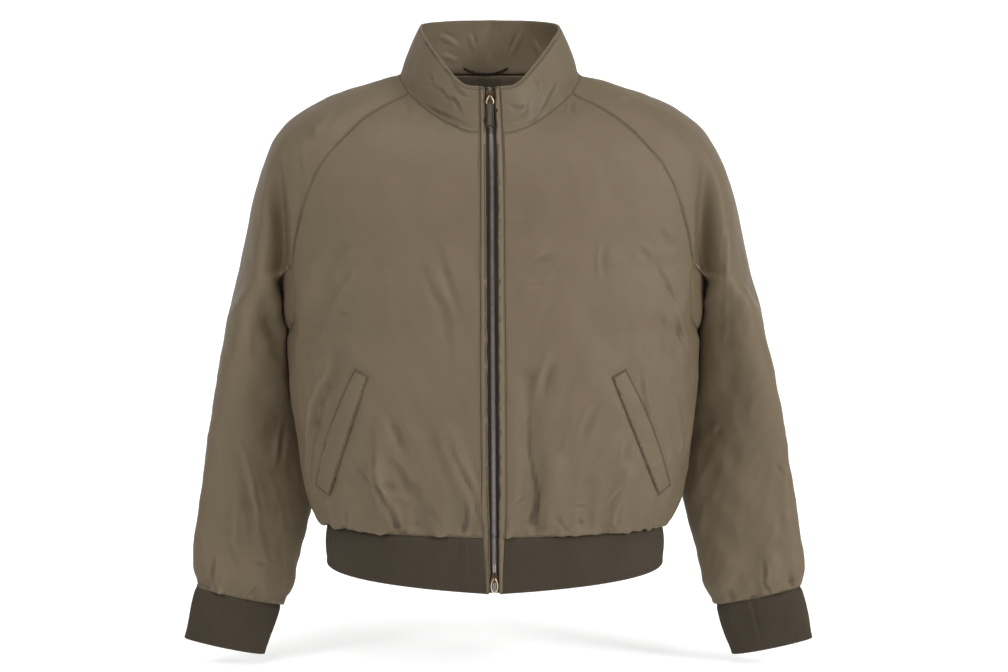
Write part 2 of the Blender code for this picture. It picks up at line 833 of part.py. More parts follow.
def build_skin():
    sleeve = sleeve_rows()
    front = body_rows(sleeve, True)
    back_half = body_rows(sleeve, False)
    gusset = gusset_rows(front, back_half, sleeve)
    back = [mirrored(row)[::-1][:-1] + row for row in back_half]
    neck = front[-1][::2] + sleeve[0][::2][1:] + back_half[-1][::-1][::2][1:]
    collar = [row + mirrored(row)[::-1][1:] for row in collar_rows(neck)]
    hem = front[0] + back_half[0][::-1][1:]
    rib = [row + mirrored(row)[::-1][1:] for row in rib_rows(hem)]
    cuff = [sleeve[-1]] + [oval(row, SLEEVE_COLUMNS) for row in CUFF[1:]]

    skin = Skin()
    edge = [row[0] for row in rib] + [row[0] for row in front[1:]] + [row[0] for row in collar[1:]]
    placket = [[Vector((PLACKET_EDGE, point.y, point.z)), point] for point in edge]
    patches = (
        ("front_right", front, False), ("gusset_right", gusset, True),
        ("sleeve_right", sleeve, True), ("cuff_right", cuff, True),
        ("placket_right", placket, False),
    )
    for name, rows, flip in patches:
        sleeved = name in ("sleeve_right", "cuff_right")
        skin.add(name, [swayed(row, sleeved) for row in rows], flip)
        left = [swayed(mirrored(row), sleeved) for row in rows]
        skin.add(name.replace("right", "left"), left, not flip)
    skin.add("back", [swayed(row) for row in back], True)
    skin.add("collar", [swayed(row) for row in collar], False)
    skin.add("hem_rib", [swayed(row) for row in rib], False)
    centre = swayed([Vector((0, point.y, point.z)) for point in edge])
    for name in ("front_right", "front_left", "back"):
        skin.note_middles(skin.patches[name]["ids"][-1])
    for name in ("sleeve_right", "sleeve_left"):
        skin.note_middles(skin.patches[name]["ids"][0])
    crease(skin)
    return skin, centre


def cloth_pieces(skin, collection):
    walls = {"collar": COLLAR_WALL, "hem_rib": RIB_WALL, "cuff_right": RIB_WALL}
    walls["cuff_left"] = RIB_WALL
    normals = skin.normals()
    made = {}
    for name, patch in skin.patches.items():
        wall = walls.get(name, SHELL_WALL)
        spec = RIB if wall == RIB_WALL else SHELL
        work = thicken(skin.points, normals, patch["faces"], 0.0, -wall)
        made[name] = keep(name, work, spec, collection)
    return made


def strips(centre, collection):
    # Tapes behind the plackets, and the closed chain between them.
    last = len(centre) - 1
    line = []
    for index, point in enumerate(centre):
        fine = point.z > STRIP_FINE_ABOVE or point.z < STRIP_FINE_BELOW
        if fine or index % 2 == 0 or index == last:
            line.append(point)
    behind = SHELL_WALL + LAY_GAP
    for side, word in ((1, "right"), (-1, "left")):
        near = Vector((side * TAPE_INNER, 0, 0))
        away = Vector((side * TAPE_OUTER, 0, 0))
        tape = [[point + near, point + away] for point in line]
        name = "zip_tape_" + word
        plate(name, tape, -behind, -behind - TAPE_WALL, side < 0, TAPE, collection)
    half = Vector((CHAIN_HALF, 0, 0))
    chain = [[point - half, point + half] for point in line]
    far = -CHAIN_SET - CHAIN_THICK
    plate("zip_chain", chain, -CHAIN_SET, far, False, METAL, collection)


def welts(made, collection):
    for row in WELTS:
        side = "right" if row["side"] > 0 else "left"
        tree = tree_of(made["front_" + side])
        rows = []
        for level in range(WELT_ROWS + 1):
            down = level / WELT_ROWS
            line = []
            for column in range(WELT_COLUMNS + 1):
                over = column / WELT_COLUMNS
                inner_x = row["top_in_x"] * (1 - down) + row["foot_in_x"] * down
                inner_z = row["top_in_z"] * (1 - down) + row["foot_in_z"] * down
                outer_x = row["top_out_x"] * (1 - down) + row["foot_out_x"] * down
                outer_z = row["top_out_z"] * (1 - down) + row["foot_out_z"] * down
                x = inner_x * (1 - over) + outer_x * over
                z = inner_z * (1 - over) + outer_z * over
                line.append(from_front(tree, x, z))
            rows.append(line)
        flip = row["side"] > 0
        name = "pocket_welt_" + side
        plate(name, rows, WELT_GAP + WELT_WALL, WELT_GAP, flip, SHELL, collection)


def inside_neck(skin, made, collection):
    # The lining below the back neck seam, the loop above it and the bare label on it.
    middle = BACK_COLUMNS // 2
    faces = skin.patches["back"]["faces"]
    count = len(faces) // BACK_COLUMNS
    chosen = []
    for level in range(count - LINING_ROWS, count):
        start = level * BACK_COLUMNS + middle
        chosen += faces[start - LINING_REACH:start + LINING_REACH]
    outer = -SHELL_WALL - LAY_GAP
    work = thicken(skin.points, skin.normals(), chosen, outer, outer - LINING_WALL)
    lining = keep("neck_lining", work, LINING, collection)
    tree = tree_of(lining)
    rows = []
    for level in range(LABEL_ROWS + 1):
        z = LABEL["z0"] + (LABEL["z1"] - LABEL["z0"]) * level / LABEL_ROWS
        line = []
        for column in range(LABEL_COLUMNS + 1):
            x = LABEL["x0"] + (LABEL["x1"] - LABEL["x0"]) * column / LABEL_COLUMNS
            line.append(from_inside(tree, x, z))
        rows.append(line)
    plate("label_patch", rows, LAY_GAP + LINING_WALL, LAY_GAP, False, LABEL_CLOTH, collection)
    tree = tree_of(made["collar"])
    rows = [[], []]
    for step in range(LOOP_COLUMNS + 1):
        share = step / LOOP_COLUMNS
        x = LOOP["x0"] + (LOOP["x1"] - LOOP["x0"]) * share
        top = LOOP["top"] - LOOP["sag"] * 4 * share * (1 - share)
        for index, z in enumerate((top - LOOP["height"], top)):
            rows[index].append(from_inside(tree, x, z))
    plate("hanger_loop", rows, LAY_GAP + LOOP["thick"], LAY_GAP, False, LINING, collection)


def eyelets(made, collection):
    for side, word in ((1, "right"), (-1, "left")):
        tree = tree_of(made["gusset_" + word])
        for number, (x, y, z) in enumerate(EYELETS):
            hit, normal, _, _ = tree.find_nearest(Vector((side * x, y, z)))
            centre = hit + normal * (EYELET_TUBE + LAY_GAP)
            bpy.ops.mesh.primitive_torus_add(
                major_segments=8, minor_segments=3,
                major_radius=(EYELET_RADIUS - EYELET_TUBE) * MM, minor_radius=EYELET_TUBE * MM,
                location=centre * MM, rotation=normal.to_track_quat("Z", "Y").to_euler(),
            )
            ring = bpy.context.object
            ring.name = "eyelet_%s_%d" % (word, number + 1)
            ring.data.materials.append(material(METAL))
            move_to(ring, collection)


def move_to(thing, collection):
    for old in list(thing.users_collection):
        old.objects.unlink(thing)
    collection.objects.link(thing)


def box(name, size, centre):
    bpy.ops.mesh.primitive_cube_add(size=1.0, location=centre * MM)
    made = bpy.context.object
    made.name = name
    made.scale = Vector(size) * MM
    bpy.ops.object.transform_apply(location=False, rotation=False, scale=True)
    return made


def combine(base, other, operation, cutters):
    modifier = base.modifiers.new(other.name, "BOOLEAN")
    modifier.operation = operation
    modifier.solver = "EXACT"
    modifier.object = other
    other.display_type = "WIRE"
    other.hide_render = True
    move_to(other, cutters)


def centre_at(centre, height):
    # The skin's centre line at a height, and how far it leans from upright.
    for low, high in zip(centre, centre[1:]):
        if low.z <= height <= high.z:
            break
    lean = math.atan2(high.y - low.y, high.z - low.z)
    return low.lerp(high, (height - low.z) / (high.z - low.z)), lean


def slider(name, centre, height, collection, cutters):
    # Front plate of the slider with its bail; returns the pull's axis point.
    surface, lean = centre_at(centre, height)
    face = CHAIN_SET - LAY_GAP
    turn = Matrix.Rotation(-lean, 3, "X")

    def spot(out, up):
        return surface + turn @ Vector((0, face - out, up))

    plate_size = (2 * SLIDER_HALF, SLIDER_THICK, SLIDER_LENGTH)
    body = box(name, plate_size, spot(SLIDER_THICK / 2, 0))
    reach = BAIL_GAP + BAIL_BAR + SLIDER_THICK / 2
    bail_size = (2 * BAIL_HALF, reach, BAIL_LENGTH + 2 * BAIL_BAR)
    bail = box(name + "_bail", bail_size, spot(SLIDER_THICK / 2 + reach / 2, 0))
    slot_size = (4 * BAIL_HALF, BAIL_GAP, BAIL_LENGTH)
    slot = box(name + "_slot", slot_size, spot(SLIDER_THICK + BAIL_GAP / 2, 0))
    for thing in (body, bail, slot):
        thing.rotation_euler = (-lean, 0, 0)
    combine(body, bail, "UNION", cutters)
    combine(body, slot, "DIFFERENCE", cutters)
    body.data.materials.append(material(METAL))
    move_to(body, collection)
    return spot(SLIDER_THICK + BAIL_GAP / 2, 0)


def link(name, axis, half, length, collection):
    # A rounded wire ring that hangs from its upper bar, which lies on the axis.
    corner = half * LINK_CORNER
    outline = (
        (-half + corner, 0), (half - corner, 0), (half, -corner),
        (half, -length + corner), (half - corner, -length),
        (-half + corner, -length), (-half, -length + corner), (-half, -corner),
    )
    curve = bpy.data.curves.new(name, "CURVE")
    curve.dimensions = "3D"
    curve.bevel_depth = LINK_WIRE * MM
    curve.bevel_resolution = 1
    spline = curve.splines.new("POLY")
    spline.points.add(len(outline) - 1)
    for point, (x, z) in zip(spline.points, outline):
        point.co = (x * MM, 0, z * MM, 1)
    spline.use_cyclic_u = True
    ring = bpy.data.objects.new(name, curve)
    ring.location = axis * MM
    curve.materials.append(material(METAL))
    collection.objects.link(ring)
    return ring


def zip_metal(centre, collection, cutters):
    axis = slider("zip_slider_top", centre, TOP_SLIDER_Z, collection, cutters)
    link("zip_link_top", axis, LINK_HALF, LINK_LENGTH, collection)
    top = LINK_LENGTH + LINK_WIRE + SEAM_GAP
    size = (2 * STRAP_HALF, STRAP_THICK, STRAP_LENGTH)
    strap = box("zip_strap_top", size, Vector((0, 0, 0)))
    for vertex in strap.data.vertices:
        vertex.co.z -= (top + STRAP_LENGTH / 2) * MM
    strap.location = axis * MM
    strap.data.materials.append(material(SHELL))
    bevel = strap.modifiers.new("rounded", "BEVEL")
    bevel.width = STRAP_BEVEL * MM
    bevel.segments = 1
    move_to(strap, collection)
    axis = slider("zip_slider_bottom", centre, BOTTOM_SLIDER_Z, collection, cutters)
    link("zip_link_bottom", axis, LINK_HALF + 1, RING_LENGTH, collection)


def main():
    for thing in list(bpy.data.objects):
        bpy.data.objects.remove(thing, do_unlink=True)
    collection = bpy.data.collections.new(COLLECTION)
    cutters = bpy.data.collections.new("cutters")
    bpy.context.scene.collection.children.link(collection)
    bpy.context.scene.collection.children.link(cutters)
    skin, centre = build_skin()
    made = cloth_pieces(skin, collection)
    strips(centre, collection)
    welts(made, collection)
    inside_neck(skin, made, collection)
    eyelets(made, collection)
    zip_metal(centre, collection, cutters)


main()
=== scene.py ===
# Raglan bomber jacket, filled out and hollow: one creased cloth skin cut into its sewn pieces,
# knitted ribs, a two-way zip and the small things inside the neck. Tables are in millimetres.
import math

import bmesh
import bpy
import numpy as np
from mathutils import Matrix, Vector, noise
from mathutils.bvhtree import BVHTree
from mathutils.kdtree import KDTree


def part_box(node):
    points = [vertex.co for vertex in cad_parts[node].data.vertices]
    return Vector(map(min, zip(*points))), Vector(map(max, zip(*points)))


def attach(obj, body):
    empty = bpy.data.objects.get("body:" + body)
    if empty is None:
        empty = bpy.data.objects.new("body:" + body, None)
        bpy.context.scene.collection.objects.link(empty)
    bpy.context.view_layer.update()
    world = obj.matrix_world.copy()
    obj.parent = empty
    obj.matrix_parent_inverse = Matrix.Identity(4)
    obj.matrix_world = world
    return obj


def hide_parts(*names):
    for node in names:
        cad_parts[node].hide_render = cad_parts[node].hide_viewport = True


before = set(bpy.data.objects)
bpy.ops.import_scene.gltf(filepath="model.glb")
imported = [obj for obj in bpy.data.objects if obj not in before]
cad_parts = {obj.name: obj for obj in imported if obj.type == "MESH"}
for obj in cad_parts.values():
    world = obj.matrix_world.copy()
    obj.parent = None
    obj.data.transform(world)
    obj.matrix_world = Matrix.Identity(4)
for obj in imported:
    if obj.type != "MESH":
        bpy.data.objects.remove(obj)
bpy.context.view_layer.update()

mm = 0.001


view = {"target": (0.015, 0.0, -0.32), "distance": 2.6, "rise": 4.0, "lens": 36 * 2.6 / 1.26}


def addCamera():
    data = bpy.data.cameras.new("camera")
    data.sensor_width = 36
    data.lens = view["lens"]
    data.clip_end = 30
    camera = bpy.data.objects.new("camera", data)
    rise = math.radians(view["rise"])
    away = Vector((0, -math.cos(rise), math.sin(rise)))
    camera.location = Vector(view["target"]) + away * view["distance"]
    camera.rotation_euler = away.to_track_quat("Z", "Y").to_euler()
    bpy.context.scene.collection.objects.link(camera)
    bpy.context.scene.camera = camera


def linearColour(code):
    channels = [int(code[i:i + 2], 16) / 255 for i in (1, 3, 5)]
    return tuple(c / 12.92 if c <= 0.04045 else ((c + 0.055) / 1.055) ** 2.4 for c in channels) + (1.0,)


def node(tree, kind, settings=None, inputs=None, links=None):
    # One node with its settings, its socket values and what is linked into it.
    made = tree.nodes.new(kind)
    for name, value in (settings or {}).items():
        setattr(made, name, value)
    for name, value in (inputs or {}).items():
        made.inputs[name].default_value = value
    for name, source in (links or {}).items():
        tree.links.new(source, made.inputs[name])
    return made


def newMaterial(name):
    made = bpy.data.materials.new(name)
    made.use_nodes = True
    tree = made.node_tree
    tree.nodes.clear()
    return made, tree


def finishMaterial(tree, inputs, links):
    shader = node(tree, "ShaderNodeBsdfPrincipled", inputs=inputs, links=links)
    node(tree, "ShaderNodeOutputMaterial", links={"Surface": shader.outputs["BSDF"]})


studio = {
    "floor": -0.745, "front": -4.5, "back": 4.6, "half": 7.0, "bend": 0.9, "bendSteps": 12, "top": 4.5,
    "paper": ("#F0F0F0", "#F2F2F2"),
    "lights": (  # name, place, aimed at, size, watts
        ("overhead", (-0.3, -1.1, 1.8), (0.0, 0.0, -0.3), 1.4, 30),
        ("left", (-2.1, -2.0, 1.2), (0.0, 0.0, -0.3), 1.2, 26),
        ("right", (2.9, -2.0, 0.9), (0.0, 0.0, -0.3), 1.2, 106),
    ),
    "glow": 0.36,
    "sky": 0.58,
}


def addStudio():
    paper, tree = newMaterial("matt_paper")
    # Matt seamless paper, faintly uneven.
    place = node(tree, "ShaderNodeTexCoord")
    cloud = node(tree, "ShaderNodeTexNoise", inputs={"Scale": 1.5, "Detail": 1.0},
                 links={"Vector": place.outputs["Object"]})
    ramp = node(tree, "ShaderNodeValToRGB", links={"Fac": cloud.outputs["Fac"]})
    for stop, shade in zip(ramp.color_ramp.elements, studio["paper"]):
        stop.color = linearColour(shade)
    finishMaterial(
        tree,
        {"Roughness": 0.9, "Specular IOR Level": 0.1, "Emission Color": (1, 1, 1, 1),
         "Emission Strength": studio["glow"]},
        {"Base Color": ramp.outputs["Color"]},
    )
    # A long sheet: floor, a rounded bend, and a wall.
    profile = [(studio["front"], studio["floor"])]
    bend = studio["bend"]
    centreY, centreZ = studio["back"] - bend, studio["floor"] + bend
    for step in range(studio["bendSteps"] + 1):
        turn = math.radians(90 * step / studio["bendSteps"])
        profile.append((centreY + bend * math.sin(turn), centreZ - bend * math.cos(turn)))
    profile.append((studio["back"], studio["top"]))
    points, faces = [], []
    for y, z in profile:
        points += [(-studio["half"], y, z), (studio["half"], y, z)]
    for step in range(len(profile) - 1):
        faces.append((2 * step, 2 * step + 1, 2 * step + 3, 2 * step + 2))
    mesh = bpy.data.meshes.new("backdrop")
    mesh.from_pydata(points, [], faces)
    mesh.materials.append(paper)
    for polygon in mesh.polygons:
        polygon.use_smooth = True
    backdrop = bpy.data.objects.new("backdrop", mesh)
    bpy.context.scene.collection.objects.link(backdrop)
    for name, place, aim, size, watts in studio["lights"]:
        light = bpy.data.lights.new(name, "AREA")
        light.energy = watts
        light.size = size
        lamp = bpy.data.objects.new(name, light)
        lamp.location = place
        lamp.rotation_euler = (Vector(place) - Vector(aim)).to_track_quat("Z", "Y").to_euler()
        bpy.context.scene.collection.objects.link(lamp)
    world = bpy.data.worlds.new("studio")
    world.use_nodes = True
    sky = world.node_tree.nodes["Background"]
    sky.inputs["Color"].default_value = (1, 1, 1, 1)
    sky.inputs["Strength"].default_value = studio["sky"]
    bpy.context.scene.world = world
    bpy.context.scene.view_settings.view_transform = "Standard"


addCamera()
addStudio()
print("camera and studio set")


def weaveBump(tree, mapping, spacing, turn, depth, before=None):
    # Bands across a UV map in millimetres: `spacing` apart, turned by `turn` degrees.
    moved = node(tree, "ShaderNodeMapping", inputs={"Rotation": (0, 0, math.radians(turn))},
                 links={"Vector": mapping.outputs["UV"]})
    bands = node(tree, "ShaderNodeTexWave", {"wave_profile": "SIN"},
                 {"Scale": 0.314 / spacing, "Distortion": 0.6, "Detail": 1.0, "Detail Scale": 1.2},
                 {"Vector": moved.outputs["Vector"]})
    links = {"Height": bands.outputs["Fac"]}
    if before:
        links["Normal"] = before.outputs["Normal"]
    return bands, node(tree, "ShaderNodeBump", inputs={"Strength": 1.0, "Distance": depth * mm}, links=links)


def band(tree, source, centre, width):
    # 1 on a line at `centre`, falling to 0 at `width` either side of it.
    off = node(tree, "ShaderNodeMath", {"operation": "SUBTRACT"}, {1: centre}, {0: source})
    size = node(tree, "ShaderNodeMath", {"operation": "ABSOLUTE"}, links={0: off.outputs[0]})
    made = node(tree, "ShaderNodeMapRange", {"interpolation_type": "SMOOTHSTEP"},
                {"From Min": width, "From Max": 0.0, "To Min": 0.0, "To Max": 1.0},
                {"Value": size.outputs[0]})
    return made.outputs["Result"]


def stitches(tree, distance, along, centre, pitch):
    # A row of thread: dashes `pitch` long, `centre` away from the seam.
    line = band(tree, distance, centre, 0.8)
    turns = node(tree, "ShaderNodeMath", {"operation": "MULTIPLY"}, {1: 2 * math.pi / pitch}, {0: along})
    wave = node(tree, "ShaderNodeMath", {"operation": "SINE"}, links={0: turns.outputs[0]})
    dash = node(tree, "ShaderNodeMapRange", {"interpolation_type": "SMOOTHSTEP"},
                {"From Min": -0.6, "From Max": 0.0}, {"Value": wave.outputs[0]})
    thread = node(tree, "ShaderNodeMath", {"operation": "MULTIPLY"},
                  links={0: line, 1: dash.outputs["Result"]})
    return line, thread.outputs[0]


def tinted(tree, colour, layers):
    # Lays each colour over the ones before it, by a mask and the share of the mask that counts.
    for code, mask, share in layers:
        if share < 1:
            part = node(tree, "ShaderNodeMath", {"operation": "MULTIPLY"}, {1: share}, {0: mask})
            mask = part.outputs[0]
        laid = node(tree, "ShaderNodeMix", {"data_type": "RGBA"}, {7: linearColour(code)},
                    {0: mask, 6: colour})
        colour = laid.outputs[2]
    return colour


def makeShellTwill(name, base, deep, light, stitchAt, furrowShade, stitched):
    # Cotton and nylon twill, piece dyed: fine close weave, a soft satin sheen, slightly clouded dye;
    # lighter on the folds by rubbed wear and painted highlight, painted shade in their hollows and seam
    # furrows.
    made, tree = newMaterial(name)
    mapping = node(tree, "ShaderNodeUVMap", {"uv_map": "flat"})
    place = node(tree, "ShaderNodeTexCoord")
    distance = node(tree, "ShaderNodeAttribute", {"attribute_name": "seamDistance"}).outputs["Fac"]
    along = node(tree, "ShaderNodeAttribute", {"attribute_name": "seamAlong"}).outputs["Fac"]
    foldShadeAndWear = node(tree, "ShaderNodeAttribute", {"attribute_name": "shadeAndWear"}).outputs["Fac"]
    cloud = node(tree, "ShaderNodeTexNoise", inputs={"Scale": 14.0, "Detail": 4.0, "Roughness": 0.6},
                 links={"Vector": place.outputs["Object"]})
    fleck = node(tree, "ShaderNodeTexNoise", inputs={"Scale": 420.0, "Detail": 2.0},
                 links={"Vector": place.outputs["Object"]})
    # Twill lines are 0.4 mm apart; drawn at 1.1 mm, coarser than they are, so that they hold.
    bands, weave = weaveBump(tree, mapping, 1.1, 62, 0.035)
    soft = node(tree, "ShaderNodeBump", inputs={"Strength": 1.0, "Distance": 0.00012},
                links={"Height": fleck.outputs["Fac"], "Normal": weave.outputs["Normal"]})
    colour = node(tree, "ShaderNodeMix", {"data_type": "RGBA"},
                  {6: linearColour(base), 7: linearColour(light)}, {0: cloud.outputs["Fac"]})
    # Painted shade: the colour darkens in the hollows of the folds.
    hollow = node(tree, "ShaderNodeMapRange", inputs={"From Min": -0.2, "From Max": -1.0, "To Max": 0.5},
                  links={"Value": foldShadeAndWear})
    # Lighter on the ridges of the folds: partly rubbed wear, partly painted highlight.
    foldWearAndShading = node(tree, "ShaderNodeMapRange", inputs={"From Min": 0.1, "From Max": 0.8, "To Max": 0.7},
                  links={"Value": foldShadeAndWear})
    # Painted shade: the colour darkens within 1.6 mm of a seam or edge, in its furrow.
    furrow = node(tree, "ShaderNodeMapRange", {"interpolation_type": "SMOOTHSTEP"},
                  {"From Min": 1.6, "From Max": 0.1, "To Min": 0.0, "To Max": furrowShade}, {"Value": distance})
    line, thread = stitches(tree, distance, along, stitchAt, 2.6)
    colour = tinted(tree, colour.outputs[2], (
        (deep, bands.outputs["Fac"], 0.10), (deep, fleck.outputs["Fac"], 0.16),
        (deep, hollow.outputs["Result"], 1), (light, foldWearAndShading.outputs["Result"], 1),
        (deep, furrow.outputs["Result"], 1), (deep, line, stitched), (light, thread, 0.30),
    ))
    dip = node(tree, "ShaderNodeMath", {"operation": "SUBTRACT"}, links={0: thread, 1: line})
    sewn = node(tree, "ShaderNodeBump", inputs={"Strength": 1.0, "Distance": 0.0005},
                links={"Height": dip.outputs[0], "Normal": soft.outputs["Normal"]})
    rough = node(tree, "ShaderNodeMapRange",
                 inputs={"From Min": 0.3, "From Max": 0.7, "To Min": 0.56, "To Max": 0.68},
                 links={"Value": cloud.outputs["Fac"]})
    finishMaterial(
        tree,
        {"Metallic": 0.0, "IOR": 1.48, "Specular IOR Level": 0.36, "Sheen Weight": 0.05,
         "Sheen Roughness": 0.45, "Sheen Tint": linearColour("#C9BFAA")},
        {"Base Color": colour, "Roughness": rough.outputs["Result"], "Normal": sewn.outputs["Normal"]},
    )
    return made


def makeRibKnit():
    # Worsted rib knit, two layers folded: matt and soft, with painted shade between the wales.
    made, tree = newMaterial("worsted_rib_knit")
    mapping = node(tree, "ShaderNodeUVMap", {"uv_map": "flat"})
    place = node(tree, "ShaderNodeTexCoord")
    # Courses of loops, 1.3 mm apart up the rib, leaning both ways on the two legs of a wale.
    _, loops = weaveBump(tree, mapping, 1.3, 72, 0.12)
    _, loops = weaveBump(tree, mapping, 1.3, 108, 0.12, loops)
    groove = node(tree, "ShaderNodeAttribute", {"attribute_name": "ribGrooveShade"}).outputs["Fac"]
    cloud = node(tree, "ShaderNodeTexNoise", inputs={"Scale": 22.0, "Detail": 3.0},
                 links={"Vector": place.outputs["Object"]})
    fuzz = node(tree, "ShaderNodeTexNoise", inputs={"Scale": 900.0, "Detail": 2.0},
                links={"Vector": place.outputs["Object"]})
    colour = node(tree, "ShaderNodeMix", {"data_type": "RGBA"},
                  {6: linearColour("#2A241C"), 7: linearColour("#362E25")}, {0: cloud.outputs["Fac"]})
    # The grooves between the wales get painted shade; the fuzz on the loops is lighter yarn.
    colour = tinted(tree, colour.outputs[2], (
        ("#211C16", groove, 0.30), ("#5A5041", fuzz.outputs["Fac"], 0.2),
    ))
    soft = node(tree, "ShaderNodeBump", inputs={"Strength": 0.5, "Distance": 0.0002},
                links={"Height": fuzz.outputs["Fac"], "Normal": loops.outputs["Normal"]})
    finishMaterial(
        tree,
        {"Roughness": 0.92, "IOR": 1.5, "Specular IOR Level": 0.2, "Sheen Weight": 0.12,
         "Sheen Roughness": 0.5, "Sheen Tint": linearColour("#B3A88F")},
        {"Base Color": colour, "Normal": soft.outputs["Normal"]},
    )
    return made


def makePlainWeave(name, dark, light, rough, spacing, sheen):
    # A close plain weave, its threads shown a little coarser than they are.
    made, tree = newMaterial(name)
    mapping = node(tree, "ShaderNodeUVMap", {"uv_map": "flat"})
    place = node(tree, "ShaderNodeTexCoord")
    across, bump = weaveBump(tree, mapping, spacing, 0, 0.06)
    down, bump = weaveBump(tree, mapping, spacing, 90, 0.06, bump)
    cloud = node(tree, "ShaderNodeTexNoise", inputs={"Scale": 30.0, "Detail": 3.0},
                 links={"Vector": place.outputs["Object"]})
    product = node(tree, "ShaderNodeMath", {"operation": "MULTIPLY"},
                   links={0: across.outputs["Fac"], 1: down.outputs["Fac"]})
    threads = node(tree, "ShaderNodeMath", {"operation": "MULTIPLY"}, {1: 0.35}, {0: product.outputs[0]})
    total = node(tree, "ShaderNodeMath", {"operation": "MULTIPLY_ADD"}, {1: 0.6},
                 {0: cloud.outputs["Fac"], 2: threads.outputs[0]})
    colour = node(tree, "ShaderNodeMix", {"data_type": "RGBA"},
                  {6: linearColour(dark), 7: linearColour(light)}, {0: total.outputs[0]})
    finishMaterial(
        tree,
        {"Roughness": rough, "IOR": 1.48, "Specular IOR Level": 0.35, "Sheen Weight": sheen,
         "Sheen Roughness": 0.4},
        {"Base Color": colour.outputs[2], "Normal": bump.outputs["Normal"]},
    )
    return made


def makeMetal(name, dark, light, rough):
    # Die-cast zinc or brass, tumbled and plated: its colour clouded and its polish finely pitted.
    made, tree = newMaterial(name)
    place = node(tree, "ShaderNodeTexCoord")
    pits = node(tree, "ShaderNodeTexNoise", inputs={"Scale": 700.0, "Detail": 3.0},
                links={"Vector": place.outputs["Object"]})
    cloud = node(tree, "ShaderNodeTexNoise", inputs={"Scale": 160.0, "Detail": 2.0},
                 links={"Vector": place.outputs["Object"]})
    colour = node(tree, "ShaderNodeMix", {"data_type": "RGBA"},
                  {6: linearColour(dark), 7: linearColour(light)}, {0: cloud.outputs["Fac"]})
    polish = node(tree, "ShaderNodeMapRange", inputs={"To Min": rough - 0.08, "To Max": rough + 0.12},
                  links={"Value": pits.outputs["Fac"]})
    bump = node(tree, "ShaderNodeBump", inputs={"Strength": 0.4, "Distance": 0.00005},
                links={"Height": pits.outputs["Fac"]})
    finishMaterial(
        tree, {"Metallic": 1.0},
        {"Base Color": colour.outputs[2], "Roughness": polish.outputs["Result"],
         "Normal": bump.outputs["Normal"]},
    )
    return made


# Twills: base, deep and light colour, the stitching's distance from the seam, the painted shade in the
# seam's furrow, and how dark the stitched line is. Weaves: two colours, roughness, spacing and sheen.
shellTwill = makeShellTwill("piece_dyed_twill", "#514532", "#1C160D", "#5F523E", 1.9, 0.16, 0.16)
collarTwill = makeShellTwill("piece_dyed_twill_collar", "#514532", "#1C160D", "#5B4F3E", 4.6, 0.0, 0.8)
# The collar's inner face: the same twill made lighter than the shell, painted light for the shade inside the
# collar.
litFacingTwill = makeShellTwill("piece_dyed_twill_facing_lit", "#625643", "#221B11", "#716450", 6.0, 0.4, 0.5)
weltTwill = makeShellTwill("piece_dyed_twill_welt", "#514532", "#1C160D", "#5F523E", 2.2, 0.5, 0.12)
stripTwill = makeShellTwill("piece_dyed_twill_strip", "#554936", "#1C160D", "#655743", 1.6, 0.5, 0.5)
strapTwill = makeShellTwill("folded_pull_twill", "#352E21", "#14100A", "#453C2E", 1.4, 0.3, 0.3)
ribKnit = makeRibKnit()
liningTwill = makePlainWeave("viscose_lining", "#6B5D4B", "#857661", 0.55, 0.9, 0.1)
tapeLoop = makePlainWeave("hanger_loop_tape", "#2E271E", "#41382C", 0.7, 0.9, 0.1)
labelWeave = makePlainWeave("damask_label_blank", "#5F5847", "#6F6753", 0.65, 0.8, 0.1)
tapeWeave = makePlainWeave("zip_tape_polyester", "#1D160D", "#2B2216", 0.8, 1.1, 0.05)
teethMetal = makeMetal("aluminium_zip_teeth", "#5B5653", "#8C8583", 0.36)
brass = makeMetal("antique_brass", "#8A7B5E", "#D6CBAF", 0.30)
darkBrass = makeMetal("blackened_brass", "#33291E", "#5E4E38", 0.36)
darkHole = makePlainWeave("shaded_opening", "#15110C", "#1D1811", 0.95, 1.5, 0.0)
print("finishes made")


def table(columns, *rows):
    names = columns.split()
    return [dict(zip(names, row)) for row in rows]


finer = 2  # cage rows for each row step of the tables
cage = {"front": 27, "backHalf": 20, "sleeve": 30, "gusset": 8, "collar": 6, "rib": 6, "cuff": 6}

side = table(
    "steps x y z frontY frontZ backY backZ",
    (1, 208.5, 4, -551, -108, -555, 97, -556),
    (1, 218, 4, -555, -110, -551, 104, -552),
    (1, 227, 5, -542, -112, -539, 108, -539),
    (2, 235, 5, -522, -114, -521, 110, -521),
    (2, 242, 6, -490, -116, -490, 112, -490),
    (2, 247, 6, -448, -118, -448, 114, -448),
    (3, 255, 6, -395, -119, -395, 116, -395),
    (0, 258, 5, -321, -119, -321, 118, -321),
)
gussetFront = table(
    "x y z turn centreY centreZ",
    (258, 5, -321, 90, -119, -321),
    (241, -48, -290, 62, -119, -292),
    (240, -54, -258, 52, -118, -262),
    (247, -42, -226, 55, -117, -236),
)
gussetBack = table(
    "x y z turn centreY centreZ",
    (258, 5, -321, 90, 118, -321),
    (246, 50, -290, 62, 119, -292),
    (243, 58, -258, 54, 119, -262),
    (243, 60, -230, 52, 119, -236),
)
frontRaglan = table(
    "x y z turn rise centreY centreZ",
    (99, -33, -20, 60, 0.55, -98, -70),
    (140, -58, -42, 34, 0.30, -106, -92),
    (165, -71, -61, 27, 0.15, -110, -107),
    (188, -78, -85, 24, 0.05, -113, -123),
    (207, -78, -109, 25, 0.0, -114, -139),
    (219, -74, -133, 28, 0.0, -115, -156),
    (229, -67, -157, 32, 0.0, -116, -174),
    (237, -59, -182, 38, 0.0, -116, -195),
    (243, -50, -205, 46, 0.0, -117, -216),
    (247, -42, -226, 55, 0.0, -117, -236),
)
